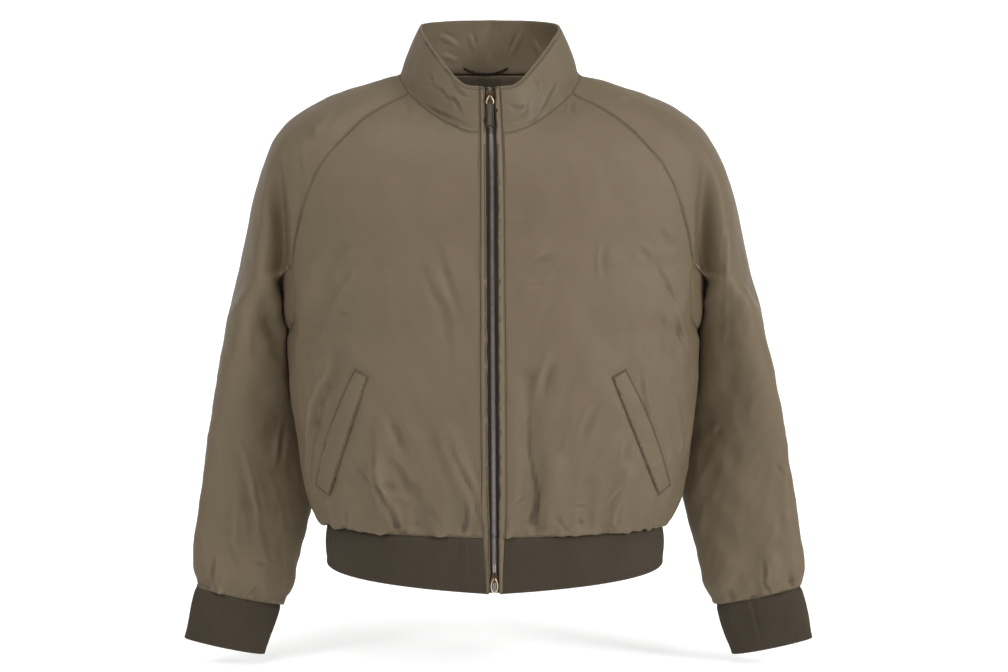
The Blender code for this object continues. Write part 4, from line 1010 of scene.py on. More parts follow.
sleeveCreases = {
    "sleeveLeft": {
        "front": (
            ("v", 4, 1.5, "both", (-232, -76), (-230, -127)),
            ("v", 8, 1.5, "both", (-224, -60), (-219, -80)),
            ("r", 6, 1.5, "both", (-190, -36), (-216, -76)),
            ("v", 14, 3, "both", (-281, -257), (-280, -291), (-272, -321), (-261, -357)),
            ("v", 5, 1.2, "both", (-312, -290), (-320, -332), (-330, -364)),
            ("r", 9, 1.5, "both", (-284, -151), (-265, -198)),
            ("v", 6, 2.5, "both", (-327, -430), (-319, -474), (-309, -524), (-302, -581), (-290, -606)),
            ("v", 6, 2, "both", (-344, -512), (-330, -530), (-335, -584), (-314, -630)),
            ("v", 5, 2.5, "both", (-260, -424), (-265, -455), (-271, -491)),
            ("v", 3.5, 3, "foot", (-355, -570), (-352, -604), (-355, -629), (-349, -642)),
            ("v", 3, 2.5, "foot", (-296, -635), (-310, -652)),
            ("v", 2.5, 1.5, "both", (-314, -605), (-293, -609), (-273, -622)),
            ("v", 2.5, 1.5, "both", (-284, -655), (-291, -658)),
            ("r", 9, 1.5, "both", (-300, -560), (-290, -596), (-276, -618)),
            ("r", 6, 1.5, "both", (-277, -569), (-273, -614)),
            ("v", 8, 1.2, "both", (-324, -588), (-321, -622)),
        ),
        "back": (
            ("v", 7, 3, "both", (-262, -300), (-290, -346), (-322, -380)),
            ("v", 5, 2.4, "both", (-330, -400), (-296, -440), (-272, -470)),
            ("r", 8, 2, "both", (-336, -430), (-300, -476), (-276, -502)),
            ("v", 5, 2.6, "both", (-280, -520), (-316, -556), (-344, -578)),
            ("v", 4, 2.6, "foot", (-330, -590), (-326, -616), (-330, -646)),
            ("v", 4, 2.6, "foot", (-298, -598), (-302, -626), (-296, -654)),
            ("v", 3.5, 2.2, "foot", (-356, -600), (-350, -642)),
            ("v", 8, 2, "both", (-270, -150), (-282, -210), (-280, -262)),
        ),
        "outer": (
            ("v", 9, 1.6, "both", (102, -180), (80, -236), (60, -276)),
            ("v", 6, 1.4, "both", (94, -280), (70, -320), (54, -350)),
            ("v", 7, 1.5, "both", (60, -292), (80, -326), (98, -366)),
            ("v", 6, 1.3, "both", (58, -390), (78, -420), (98, -446)),
        ),
        "inner": (
            ("v", 8, 2.6, "both", (84, -330), (60, -362), (38, -384)),
            ("v", 6, 2.2, "both", (40, -436), (62, -456), (86, -470)),
        ),
    },
    "sleeveRight": {
        "front": (
            ("v", 6, 1.5, "both", (146, -36), (181, -31)),
            ("r", 3.2, 2.8, "both", (290, -117), (290, -212), (289, -298), (287, -387)),
            ("v", 10, 2, "both", (295, -229), (313, -332)),
            ("v", 5, 1.5, "both", (282, -448), (291, -436)),
            ("v", 4, 1.5, "both", (357, -480), (368, -499)),
            ("v", 8, 2, "both", (361, -537), (366, -580)),
            ("v", 3.5, 3.5, "foot", (340, -588), (344, -615), (343, -633), (350, -644)),
            ("v", 3.5, 3, "foot", (374, -615), (378, -634)),
            ("v", 4, 2, "both", (277, -623), (307, -649)),
            ("v", 2.5, 1.5, "foot", (335, -650), (328, -655)),
        ),
        "back": (
            ("v", 7, 3, "both", (268, -296), (300, -340), (330, -372)),
            ("v", 5, 2.4, "both", (336, -410), (304, -448), (282, -482)),
            ("r", 8, 2, "both", (350, -440), (312, -486), (290, -512)),
            ("v", 5, 2.6, "both", (294, -530), (330, -566), (356, -586)),
            ("v", 4, 2.6, "foot", (344, -596), (340, -622), (346, -648)),
            ("v", 4, 2.6, "foot", (310, -604), (314, -630), (308, -656)),
            ("v", 3.5, 2.2, "foot", (372, -604), (368, -640)),
            ("v", 8, 2, "both", (276, -160), (288, -216), (284, -268)),
        ),
        "outer": (
            ("v", 9, 1.6, "both", (98, -190), (78, -242), (58, -284)),
            ("v", 6, 1.4, "both", (96, -290), (72, -328), (54, -356)),
            ("v", 7, 1.5, "both", (60, -300), (80, -334), (98, -372)),
            ("v", 6, 1.3, "both", (60, -398), (78, -426), (98, -452)),
        ),
        "inner": (
            ("v", 8, 2.6, "both", (86, -336), (62, -368), (40, -388)),
            ("v", 6, 2.2, "both", (42, -442), (64, -462), (88, -476)),
        ),
    },
}
collarCreases = {
    "front": (
        ("v", 3, 2.0, "both", (-62, -27), (-45, -31), (-34, -51), (-17, -71)),
        ("v", 3, 1.9, "both", (-88, -30), (-67, -44), (-40, -56), (-24, -66)),
        ("v", 3, 2.0, "both", (15, -59), (38, -51), (48, -28)),
        ("v", 3, 1.8, "both", (16, -34), (30, -40), (46, -36)),
        ("v", 3, 1.6, "both", (22, -68), (44, -62), (62, -50)),
        ("v", 4, 1.8, "both", (58, -50), (82, -6)),
        ("v", 3, 1.6, "both", (-52, -4), (-38, -22), (-22, -30)),
        ("v", 3, 1.4, "both", (60, -20), (50, 2)),
        ("v", 4, 1.5, "both", (-78, 6), (-70, -14)),
        ("v", 3, 1.5, "both", (-84, -8), (-60, -20), (-48, -40)),
        ("v", 3, 1.4, "both", (-44, -66), (-30, -78)),
    ),
    "back": (
        ("r", 5, 1.0, "both", (-4, 70), (-6, 26)),
        ("v", 3.5, 1.5, "both", (-71, 58), (-56, 52), (-41, 42)),
        ("v", 3.5, 1.4, "both", (40, 66), (30, 44), (24, 30)),
        ("v", 3.5, 1.3, "both", (-66, 34), (-44, 26)),
        ("v", 3.5, 1.2, "both", (-30, 62), (-24, 40)),
        ("v", 3.5, 1.2, "both", (52, 54), (62, 34)),
    ),
}
# Seams: pieces that meet, pucker height, spacing and reach, then the same for the wider gathers.
seamPuckers = (
    (("front", "back"), ("rib",), 4.0, 10.0, 15.0, 4.6, 28.0, 42.0),
    (("sleeve",), ("cuff",), 3.4, 8.5, 14.0, 3.8, 24.0, 36.0),
    (("front", "back"), ("sleeve",), 0.55, 10.0, 8.0, 0.9, 34.0, 20.0),
    (("gusset",), ("front", "back", "sleeve"), 0.5, 9.0, 7.0, 0.6, 26.0, 16.0),
    (("front",), ("back",), 0.5, 12.0, 7.0, 0.7, 36.0, 18.0),
    (("collar",), ("front", "back", "sleeve"), 0.5, 9.0, 7.0, 0.7, 26.0, 16.0),
    (("placket",), ("front", "rib", "collar"), 0.35, 11.0, 6.0, 0.9, 38.0, 22.0),
)


# Slanted pocket welts: corners in X and Z from the top inner one.
welts = (
    {"node": "pocket_welt_left", "corners": [(-148, -362), (-165, -353), (-218, -501), (-198, -512)]},
    {"node": "pocket_welt_right", "corners": [(144, -362), (162, -353), (220, -500), (204, -512)]},
)
weltSize = {
    # "lift" off the front, the furrow round it, its bowed mouth and the ripple near its foot
    "wall": 3.0, "lift": 1.5, "furrow": 3.4, "furrowDeep": 1.6, "evened": 5, "bow": 6.0, "ripple": 1.1,
    "puckers": (1.3, 9.0, 7.0, 1.4, 26.0, 18.0), "rows": 100, "columns": 12,
}


def weltSpot(welt, down, over):
    # A place on a welt in X and Z: `down` its length, `over` from its sewn side to its mouth.
    (ax, az), (bx, bz), (cx, cz), (dx, dz) = welt["corners"]
    x = (ax + (dx - ax) * down) * (1 - over) + (bx + (cx - bx) * down) * over
    z = (az + (dz - az) * down) * (1 - over) + (bz + (cz - bz) * down) * over
    return x + math.copysign(weltSize["bow"] * math.sin(math.pi * down) * over, x), z


def ownerMask(words):
    # The points of every piece whose name starts with one of the words.
    wanted = [index for index, name in enumerate(names) if name.startswith(tuple(words))]
    chosen = np.zeros(len(points), dtype=bool)
    chosen[np.unique(faces[np.isin(owners, wanted)])] = True
    return chosen


def treeOfSkin(words):
    wanted = [index for index, name in enumerate(names) if name.startswith(tuple(words))]
    kept = faces[np.isin(owners, wanted)]
    return BVHTree.FromPolygons([tuple(p) for p in points], [tuple(int(i) for i in f) for f in kept])


def curveThrough(line):
    # A rounded line through its points, with a point every few millimetres.
    if len(line) == 2:
        return line
    result = []
    for index in range(len(line) - 1):
        before = line[max(index - 1, 0)]
        here, there = line[index], line[index + 1]
        after = line[min(index + 2, len(line) - 1)]
        for step in range(4):
            t = step / 4
            result.append(0.5 * (
                2 * here + (there - before) * t + (2 * before - 5 * here + 4 * there - after) * t * t
                + (3 * here - before - 3 * there + after) * t ** 3
            ))
    return result + [line[-1]]


creasing = {
    # "depth" scales every crease, "narrowest" is its least half width and "steepest" its greatest
    # depth as a share of that; "shoulder" and "pleat" shape its sides; one more sets the fold height that
    # gets full rubbed wear and painted highlight and the hollow depth that gets full painted shade; the
    # others are heights of the small unevenness.
    "depth": 1.45, "narrowest": 3.0, "steepest": 0.80, "shoulder": 0.36, "pleat": 0.34, "rumple": 1.3,
    "crinkle": 0.5, "swell": 1.5, "small": 0.5, "shadeAndWear": 0.8,
}


def spreadOver(values, share, turns):
    # Evens values out over each point's neighbours on the skin.
    starts, ends = faces.ravel(), np.roll(faces, -1, axis=1).ravel()
    count = np.zeros(len(points))
    np.add.at(count, starts, 1)
    np.add.at(count, ends, 1)
    for _ in range(turns):
        total = np.zeros_like(values)
        np.add.at(total, starts, values[ends])
        np.add.at(total, ends, values[starts])
        values = (1 - share) * values + share * (total.T / count).T
    return values


def creaseHeight(kind, width, depth, ends, line, wanted, facing, normals):
    # What one crease adds to each wanted point, from its distance to the line.
    line = np.array([tuple(point) for point in curveThrough(line)])
    width = max(width, creasing["narrowest"])
    reach = 3.0 * width
    low, high = line.min(axis=0) - reach, line.max(axis=0) + reach
    near = np.where(wanted & np.all((points > low) & (points < high), axis=1))[0]
    if not len(near):
        return near, np.zeros(0)
    here = points[near]
    lengths = np.linalg.norm(np.diff(line, axis=0), axis=1)
    starts = np.concatenate(([0.0], np.cumsum(lengths)))
    best = np.full(len(near), 1e9)
    along, upper = np.zeros(len(near)), np.zeros(len(near))
    # The pleat's upper side is the same all along the line.
    aim = np.array(facing)
    side = -1 if np.cross(line[-1] - line[0], aim)[2] < 0 else 1
    for index in range(len(line) - 1):
        run = line[index + 1] - line[index]
        share = np.clip((here - line[index]) @ run / max(run @ run, 1e-9), 0, 1)
        away = np.linalg.norm(here - line[index] - share[:, None] * run, axis=1)
        closer = away < best
        best[closer] = away[closer]
        along[closer] = (starts[index] + share * lengths[index])[closer]
        over = side * np.cross(run, aim)
        height = (here - line[index]) @ over / max(np.linalg.norm(over), 1e-9)
        upper[closer] = np.clip(height / (0.6 * width), -1, 1)[closer]
    t = along / max(starts[-1], 1e-9)
    if ends == "foot":
        taper = np.clip(t / 0.55, 0, 1)
        taper = taper * taper * (3 - 2 * taper)
    else:
        taper = np.sin(np.pi * np.clip(t, 0, 1)) ** 1.2
    narrow = width * (0.75 + 0.25 * taper)
    share = best / narrow
    if kind == "r":
        shape = np.exp(-1.6 * share ** 2) - 0.30 * np.exp(-((share - 1.7) / 0.7) ** 2)
    else:
        ridge = creasing["shoulder"] + creasing["pleat"] * upper
        shape = -np.exp(-1.8 * share ** 2) + ridge * np.exp(-((share - 1.45) / 0.60) ** 2)
    uneven = np.array([0.85 + 0.5 * noise.noise(Vector(spot) / 16) for spot in here])
    taper = taper * uneven
    turned = np.clip(normals[near] @ aim * 2.2, 0, 1)
    return near, min(creasing["depth"] * depth, creasing["steepest"] * width) * shape * taper * turned


def addCreases(rows, words, facing, plane):
    # Each line is dropped onto the cloth along `facing`; `plane` names its two coordinates.
    global points
    normals = normalsOf(points, faces)
    tree = treeOfSkin(words)
    wanted = ownerMask(words)
    total = np.zeros(len(points))
    aim = Vector(facing)
    for kind, width, depth, ends, *line in rows:
        spots = []
        for a, b in line:
            start = Vector((a, 0, b)) if plane == "xz" else Vector((0, a, b))
            hit = tree.ray_cast(start + aim * 600, -aim)[0]
            if hit is not None:
                spots.append(hit)
        if len(spots) < 2:
            print("crease off the cloth:", words, line)
            continue
        near, height = creaseHeight(kind, width, depth, ends, spots, wanted, facing, normals)
        total[near] += height
    points = points + normals * spreadOver(total, 0.3, 1)[:, None]


def addBroadFolds(rows, words, side):
    # Soft round ridges and hollows, wide against their depth.
    global points
    normals = normalsOf(points, faces)
    wanted = np.where(ownerMask(words))[0]
    here = points[wanted]
    total = np.zeros(len(wanted))
    for facing, x0, z0, x1, z1, width, height in rows:
        start = np.array([x0 * side, z0])
        run = np.array([x1 * side, z1]) - start
        reach = here[:, [0, 2]] - start
        share = np.clip(reach @ run / (run @ run), 0, 1)
        away = np.linalg.norm(reach - share[:, None] * run, axis=1)
        bell = np.where(away < width, 0.5 + 0.5 * np.cos(np.pi * away / width), 0)
        total += height * bell * np.clip(facing * normals[wanted][:, 1] * 2, 0, 1)
    points[wanted] += normals[wanted] * total[:, None]


def seamPoints(first, second):
    # Points shared by a face of one kind of piece and a face of another.
    return np.where(ownerMask(first) & ownerMask(second))[0]


def puckerAlong(seam, number, fine, spacing, reach, broad, wide, far, allowed):
    # Small uneven folds square to a line of spots, dying away on both sides of it.
    tree = KDTree(len(seam))
    small, large = np.zeros(len(seam)), np.zeros(len(seam))
    for index, spot in enumerate(seam):
        tree.insert(spot, index)
        here = Vector(spot)
        small[index] = 0.35 - 1.9 * abs(noise.noise(here / spacing + Vector((7.3 * number, 0, 0)))) ** 0.8
        large[index] = 0.40 - 2.0 * abs(noise.noise(here / wide + Vector((0, 5.1 * number + 2, 0)))) ** 0.8
    tree.balance()
    total = np.zeros(len(points))
    limit = 2.2 * max(reach, far)
    low, high = seam.min(axis=0) - limit, seam.max(axis=0) + limit
    for corner in np.where(np.all((points > low) & (points < high), axis=1) & allowed)[0]:
        found = tree.find_n(points[corner], 3)
        distance = found[0][2]
        if distance > limit:
            continue
        weights = [1 / (item[2] + 0.5) for item in found]
        whole = sum(weights)
        little = sum(w * small[item[1]] for w, item in zip(weights, found)) / whole
        other = sum(w * large[item[1]] for w, item in zip(weights, found)) / whole
        held = 1 - math.exp(-(distance / 2.5) ** 2)
        total[corner] += held * fine * little * math.exp(-(distance / reach) ** 1.6)
        total[corner] += held * broad * other * math.exp(-(distance / far) ** 1.8)
    return total


def addPuckers():
    # Sewn seams draw the cloth into small uneven folds that run square to them.
    global points
    normals = normalsOf(points, faces)
    free = ~ownerMask(("rib", "cuff"))
    total = np.zeros(len(points))
    for number, (first, second, *sizes) in enumerate(seamPuckers):
        total += puckerAlong(points[seamPoints(first, second)], number, *sizes, free)
    fronts = ownerMask(("front",))
    tree = treeOfSkin(("front",))
    for number, welt in enumerate(welts):
        sides = [(step / 40, side) for step in range(41) for side in (0, 1)]
        sides += [(side, step / 6) for step in range(1, 6) for side in (0, 1)]
        outline = []
        for down, over in sides:
            x, z = weltSpot(welt, down, over)
            outline.append(tree.ray_cast(Vector((x, -400, z)), Vector((0, 1, 0)))[0])
        spots = np.array([tuple(spot) for spot in outline])
        total += puckerAlong(spots, 20 + number, *weltSize["puckers"], fronts)
        # The front sinks a little beside the welt's own edge.
        low, high = spots.min(axis=0) - 9, spots.max(axis=0) + 9
        near = np.where(fronts & np.all((points > low) & (points < high), axis=1))[0]
        away = np.min(np.linalg.norm(points[near][:, None] - spots[None], axis=2), axis=1)
        total[near] -= weltSize["furrowDeep"] * np.exp(-(away / weltSize["furrow"]) ** 2)
    points = points + normals * total[:, None]


# How far the gathered cloth puffs out and hangs down, and where above the seam.
gathers = {"out": 2.4, "down": 1.9, "at": 5.0, "reach": 4.5, "spacing": 13.0}


def addOverhang(first, second):
    # Above a rib the gathered cloth puffs out and hangs a little over the seam, unevenly.
    global points
    normals = normalsOf(points, faces)
    seam = points[seamPoints(first, second)]
    tree = KDTree(len(seam))
    for index, spot in enumerate(seam):
        tree.insert(spot, index)
    tree.balance()
    limit = gathers["at"] + 2.5 * gathers["reach"]
    low, high = seam.min(axis=0) - limit, seam.max(axis=0) + limit
    free = ownerMask(first) & ~ownerMask(second)
    for corner in np.where(np.all((points > low) & (points < high), axis=1) & free)[0]:
        spot, index, distance = tree.find(points[corner])
        if distance > limit:
            continue
        held = 1 - math.exp(-(distance / 2) ** 2)
        share = math.exp(-((distance - gathers["at"]) / gathers["reach"]) ** 2) * held
        share *= 0.55 + 0.9 * noise.noise(spot / gathers["spacing"] + Vector((0, 0, 3)))
        points[corner] += share * (gathers["out"] * normals[corner] - np.array((0, 0, gathers["down"])))


uneven = {
    # spacing of each kind, across and down the cloth
    "swell": (38, 70), "small": (15, 22), "rumple": (24, 75), "crinkle": (13, 34), "group": (60, 90),
    "lean": 0.30, "from": -150, "over": 300,
}


def addSoftUnevenness():
    # Cloth is never quite even: low swells, drawn out down the cloth.
    global points
    normals = normalsOf(points, faces)
    total = np.zeros(len(points))
    fixed = ownerMask(("rib", "cuff"))

    def waver(kind, x, y, z, shiftX=0, shiftZ=0):
        across, down = uneven[kind]
        return noise.noise(Vector((x / across + shiftX, y / across, z / down + shiftZ)))

    for corner in np.where(~fixed)[0]:
        x, y, z = points[corner]
        total[corner] = creasing["swell"] * waver("swell", x, y, z)
        total[corner] += creasing["small"] * waver("small", x, y, z, 0, 9)
        # Rumples: sharp-backed little folds leaning to the centre, more of them lower down.
        low = min(1.0, max(0.12, (uneven["from"] - z) / uneven["over"]))
        lean = x + math.copysign(uneven["lean"] * z, x)
        fold = waver("group", lean, y, z, 5)
        ridge = 1 - 3.2 * abs(waver("rumple", lean, y, z, 0, 31))
        total[corner] += creasing["rumple"] * low * ridge * max(0.0, min(1.0, 0.6 + 1.6 * fold))
        ridge = 1 - 3.0 * abs(waver("crinkle", lean, y, z, 0, 57))
        total[corner] += creasing["crinkle"] * low * ridge * max(0.0, min(1.0, 0.5 - 2.0 * fold))
    points = points + normals * total[:, None]


resting = {
    # heights where the sleeves start and stop lying against the body; the gap left, and the most
    # that a sleeve is moved; "corner" is the reach of the eased gusset corners
    "top": -250.0, "full": -275.0, "last": -395.0, "foot": -440.0, "gap": 2.2, "most": 14.0, "far": 42.0,
    "fade": 22.0, "corner": 13,
}


def restSleeves():
    # The sleeves lie against the body's sides below the underarm, near enough to touch.
    global points
    normals = normalsOf(points, faces)
    body = treeOfSkin(("front", "back", "gusset"))
    shift = np.zeros(len(points))
    for word, turn in (("Right", 1), ("Left", -1)):
        free = ownerMask(("sleeve" + word,)) & ~ownerMask(("gusset", "front", "back"))
        low = (points[:, 2] > resting["foot"]) & (points[:, 2] < resting["top"])
        levels = [resting[name] for name in ("foot", "last", "full", "top")]
        for corner in np.where(free & low & (normals[:, 0] * turn < 0))[0]:
            x, y, z = points[corner]
            hit = body.ray_cast(Vector((x, y, z)), Vector((-turn, 0, 0)))[0]
            if hit is None or abs(x - hit.x) > resting["far"]:
                continue
            away = abs(x - hit.x)
            come = min(resting["most"], max(0.0, away - resting["gap"]))
            share = np.interp(z, levels, (0, 1, 1, 0))
            share *= min(1.0, -1.6 * normals[corner, 0] * turn, (resting["far"] - away) / resting["fade"])
            shift[corner] = -turn * come * share
    points[:, 0] += spreadOver(shift, 0.6, 8)


def easeUnderarms():
    # Where four pieces meet at a gusset's front and back corners the cloth is worked smooth.
    global points
    eased = spreadOver(points, 0.6, 6)
    corners = [(row["x"], row["y"], row["z"]) for row in (frontRaglan[-1], backRaglan[-1])]
    for x, y, z in corners + [underarm]:
        for turn in (1, -1):
            away = np.linalg.norm(points - np.array((turn * x, y, z)), axis=1)
            share = np.exp(-(away / resting["corner"]) ** 2)[:, None]
            points = points * (1 - share) + eased * share


restSleeves()
easeUnderarms()
addBroadFolds(broadBody, ("front", "back"), 1)
addBroadFolds(broadSleeve, ("sleeveRight",), 1)
addBroadFolds(broadSleeve, ("sleeveLeft",), -1)
addCreases(bodyCreases, ("front",), (0, -1, 0), "xz")
addCreases(backCreases, ("back",), (0, 1, 0), "xz")
for name, faced in sleeveCreases.items():
    outward = 1 if name == "sleeveRight" else -1
    addCreases(faced["front"], (name,), (0, -1, 0), "xz")
    addCreases(faced["back"], (name,), (0, 1, 0), "xz")
    addCreases(faced["outer"], (name,), (outward, 0, 0), "yz")
    addCreases(faced["inner"], (name,), (-outward, 0, 0), "yz")
addCreases(collarCreases["front"], ("collar",), (0, -1, 0), "xz")
addCreases(collarCreases["back"], ("collar",), (0, 1, 0), "xz")
addSoftUnevenness()
addPuckers()
addOverhang(("front", "back"), ("rib",))
addOverhang(("sleeve",), ("cuff",))
normals = normalsOf(points, faces)


def shadeAndWearOf():
    # How far each point stands above its neighbours: 1 on a sharp fold, -1 in a sharp hollow.
    # The twill uses it for painted shade in the hollows, and rubbed wear with painted highlight on the folds.
    proud = np.sum((points - spreadOver(points, 1, 1)) * normals, axis=1)
    return np.clip(spreadOver(proud, 0.5, 1) / creasing["shadeAndWear"], -1, 1)


shadeAndWear = shadeAndWearOf()
print("creases laid")


def borderOf(cells):
    # Directed edges that only one cell of the piece uses.
    starts = cells.ravel()
    ends = np.roll(cells, -1, axis=1).ravel()
    size = int(cells.max()) + 1
    forward = starts.astype(np.int64) * size + ends
    backward = ends.astype(np.int64) * size + starts
    alone = ~np.isin(forward, backward)
    return np.stack((starts[alone], ends[alone]), axis=1)


def loopsOf(edges):
    following = {int(a): int(b) for a, b in edges}
    loops = []
    while following:
        start = next(iter(following))
        loop = [start]
        here = following.pop(start)
        while here != start and here in following:
            loop.append(here)
            here = following.pop(here)
        loops.append(loop)
    return loops


def wallOf(name, spots, cells, flat, facing, seamed, wall, outside, inside, groove=0.55, lift=0.0,
           foldShadeAndWear=None, tree=None, rimOnly=False):
    # A closed cloth wall: the outer face, its edges rolled into the seams or folded round, the
    # inner face. `seamed` marks the points that lie on a seam with another piece.
    used = np.unique(cells)
    number = np.full(len(spots), -1)
    number[used] = np.arange(len(used))
    cells = number[cells]
    spots, facing, seamed = spots[used].copy(), facing[used], seamed[used]
    if lift:
        spots += facing * lift
    edges = borderOf(cells)
    outward = np.zeros_like(spots)
    for a, b in edges:
        run = spots[b] - spots[a]
        push = np.cross(run, facing[a] + facing[b])
        push /= max(np.linalg.norm(push), 1e-9)
        outward[a] += push
        outward[b] += push
    border = np.unique(edges)
    lengths = np.linalg.norm(outward[border], axis=1)
    outward[border] /= np.maximum(lengths, 1e-9)[:, None]
    # How far each point is from the nearest seam or edge, and how far along it.
    measured = edges[~(seamed[edges[:, 0]] & seamed[edges[:, 1]])] if rimOnly else edges
    distance, along = edgeMeasure(spots, measured)
    count, rimCount = len(spots), len(border)
    # The wall is thinner where the cloth folds sharply or comes back close on itself.
    thick = np.full((count, 1), wall)
    if tree:
        thick *= np.clip(1.15 - bending[used][:, None] * 6, 0.2, 1)
        for index in range(count):
            start = Vector(spots[index] - 0.2 * facing[index])
            away = tree.ray_cast(start, Vector(-facing[index]), 2.4 * wall)[3]
            if away is not None:
                thick[index] = max(0.3, min(thick[index, 0], 0.42 * (away + 0.2)))
    place = np.full(count, -1)
    place[border] = np.arange(rimCount)
    edge = spots[border] - outward[border] * 0.15
    isSeam = seamed[border]
    radius = np.where(isSeam, 0.0, wall / 2)[:, None]
    tuck = np.where(isSeam, 1.5, 1.2)[:, None]
    near = np.where(isSeam, 0.6, 0.35)[:, None]
    sink = np.where(isSeam, groove, 0.0)[:, None]
    out, up = outward[border], facing[border]
    layers = [spots.copy()]
    layers[0][border] = edge - out * (tuck + radius) - up * sink * 0.08
    layers.append(edge - out * (near + radius) - up * sink * 0.38)
    layers.append(edge - out * radius - up * sink)
    ringDistance = [np.full(rimCount, 0.6), np.zeros(rimCount)]
    turns = 4
    for step in range(1, turns):
        angle = math.pi * step / turns
        layers.append(edge - out * radius + out * radius * math.sin(angle)
                      - up * (sink + (thick[border] - sink) * (1 - math.cos(angle)) / 2))
        ringDistance.append(np.zeros(rimCount))
    inner = spots - facing * thick
    inner[border] = edge - out * radius - up * thick[border]
    allSpots = np.concatenate(layers + [inner])
    offsets = [count + rimCount * k for k in range(turns + 1)]
    innerStart = count + rimCount * (turns + 1)
    distance = np.concatenate([distance, *ringDistance, np.full(count, 9.0)])
    distance[border] = 1.5
    along = np.concatenate([along] + [along[border]] * (turns + 1) + [along])
    cellList = [cells]
    flatList = [flat]
    flatAt = np.zeros((count, 2))
    flatAt[cells.ravel()] = flat.reshape(-1, 2)
    a, b = edges[:, 0], edges[:, 1]
    previous = (a, b)
    rings = [(start + place[a], start + place[b]) for start in offsets]
    for following in rings + [(innerStart + a, innerStart + b)]:
        cellList.append(np.stack((previous[1], previous[0], following[0], following[1]), axis=1))
        flatList.append(np.stack((flatAt[b], flatAt[a], flatAt[a], flatAt[b]), axis=1))
        previous = following
    outerCells = sum(len(part) for part in cellList)
    cellList.append(innerStart + cells[:, ::-1])
    flatList.append(flat[:, ::-1])
    made = meshOf(name, allSpots, np.concatenate(cellList), np.concatenate(flatList), [outside, inside])
    indices = np.zeros(len(made.data.polygons), dtype=int)
    indices[outerCells:] = 1
    made.data.polygons.foreach_set("material_index", indices)
    # The fold measure goes along as an attribute: painted shade in the hollows, rubbed wear and painted
    # highlight on the folds.
    foldWearAndShading = np.zeros(len(allSpots))
    if foldShadeAndWear is not None:
        foldWearAndShading[:count] = foldShadeAndWear[used]
    for word, values in (("seamDistance", distance), ("seamAlong", along), ("shadeAndWear", foldWearAndShading)):
        made.data.attributes.new(word, "FLOAT", "POINT").data.foreach_set("value", values)
    return made


def edgeMeasure(spots, edges):
    # Distance from the nearest edge and the run along it, for the stitching.
    tree = KDTree(len(edges))
    middles = (spots[edges[:, 0]] + spots[edges[:, 1]]) / 2
    for index, spot in enumerate(middles):
        tree.insert(spot, index)
    tree.balance()
    loops = loopsOf(edges)
    run = np.zeros(len(spots))
    for loop in loops:
        total = 0.0
        for here, there in zip(loop, loop[1:] + loop[:1]):
            run[here] = total
            total += float(np.linalg.norm(spots[there] - spots[here]))
    distance, along = np.zeros(len(spots)), np.zeros(len(spots))
    for index, spot in enumerate(spots):
        found = tree.find(spot)
        a, b = edges[found[1]]
        line = spots[b] - spots[a]
        share = min(1.0, max(0.0, float((spot - spots[a]) @ line / max(line @ line, 1e-9))))
        distance[index] = np.linalg.norm(spot - spots[a] - line * share)
        along[index] = run[a] + share * np.linalg.norm(line)
    return distance, along


def meshOf(name, spots, cells, flat, materials):
    # Spots in millimetres become a mesh in metres with its flat map.
    mesh = bpy.data.meshes.new(name)
    mesh.vertices.add(len(spots))
    mesh.vertices.foreach_set("co", (np.asarray(spots) * mm).ravel())
    mesh.loops.add(cells.size)
    mesh.loops.foreach_set("vertex_index", cells.ravel().astype(np.int32))
    mesh.polygons.add(len(cells))
    mesh.polygons.foreach_set("loop_start", np.arange(0, cells.size, 4, dtype=np.int32))
    mesh.polygons.foreach_set("use_smooth", np.ones(len(cells), dtype=bool))
    layer = mesh.uv_layers.new(name="flat")
    layer.data.foreach_set("uv", np.asarray(flat, dtype=float).ravel())
    for made in materials:
        mesh.materials.append(made)
    mesh.update(calc_edges=True)
    mesh.validate()
    thing = bpy.data.objects.new(name, mesh)
    bpy.context.scene.collection.objects.link(thing)
    return thing


def pieceCells(*words):
    wanted = [index for index, name in enumerate(names) if name in words]
    chosen = np.isin(owners, wanted)
    return faces[chosen], flats[chosen]


def sharedPoints():
    # Points used by more than one piece.
    first = np.full(len(points), -1)
    shared = np.zeros(len(points), dtype=bool)
    for index in range(len(names)):
        used = np.unique(faces[owners == index])
        shared[used[first[used] >= 0]] = True
        first[used] = index
    return shared


def sayArea(made):
    area = sum(polygon.area for polygon in made.data.polygons) / 2
    print(made.name, len(made.data.polygons), "cells, area", round(area, 4))


def carry(made, cadNode, body="jacket"):
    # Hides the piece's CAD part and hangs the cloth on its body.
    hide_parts(cadNode)
    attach(made, body)


shared = sharedPoints()
sewn = {
    # piece: CAD node, wall, outer and inner finish, flat width and length, share of that, groove
    "frontRight": ("front_right", 1.6, shellTwill, liningTwill, (0.30, 0.56), 0.86, 0.30),
    "frontLeft": ("front_left", 1.6, shellTwill, liningTwill, (0.30, 0.56), 0.86, 0.30),
    "back": ("back", 1.6, shellTwill, liningTwill, (0.60, 0.60), 0.86, 0.30),
    "sleeveRight": ("sleeve_right", 1.6, shellTwill, liningTwill, (0.44, 0.75), 0.75, 0.30),
    "sleeveLeft": ("sleeve_left", 1.6, shellTwill, liningTwill, (0.44, 0.75), 0.75, 0.30),
    "gussetRight": ("gusset_right", 1.6, shellTwill, liningTwill, (0.115, 0.105), 0.7, 0.30),
    "gussetLeft": ("gusset_left", 1.6, shellTwill, liningTwill, (0.115, 0.105), 0.7, 0.30),
    "collar": ("collar", 3.0, collarTwill, litFacingTwill, (0.52, 0.09), 0.9, 0.55),
}
bending = 1 - np.linalg.norm(spreadOver(normals, 1, 3), axis=1)
wholeSkin = treeOfSkin(("front", "back", "sleeve", "gusset"))
for word, (cadNode, wall, outside, inside, size, share, groove) in sewn.items():
    cells, flat = pieceCells(word)
    made = wallOf(cadNode + "_cloth", points, cells, flat, normals, shared, wall, outside, inside,
                  groove, foldShadeAndWear=shadeAndWear, tree=wholeSkin, rimOnly=word == "collar")
    carry(made, cadNode)
    sayArea(made)


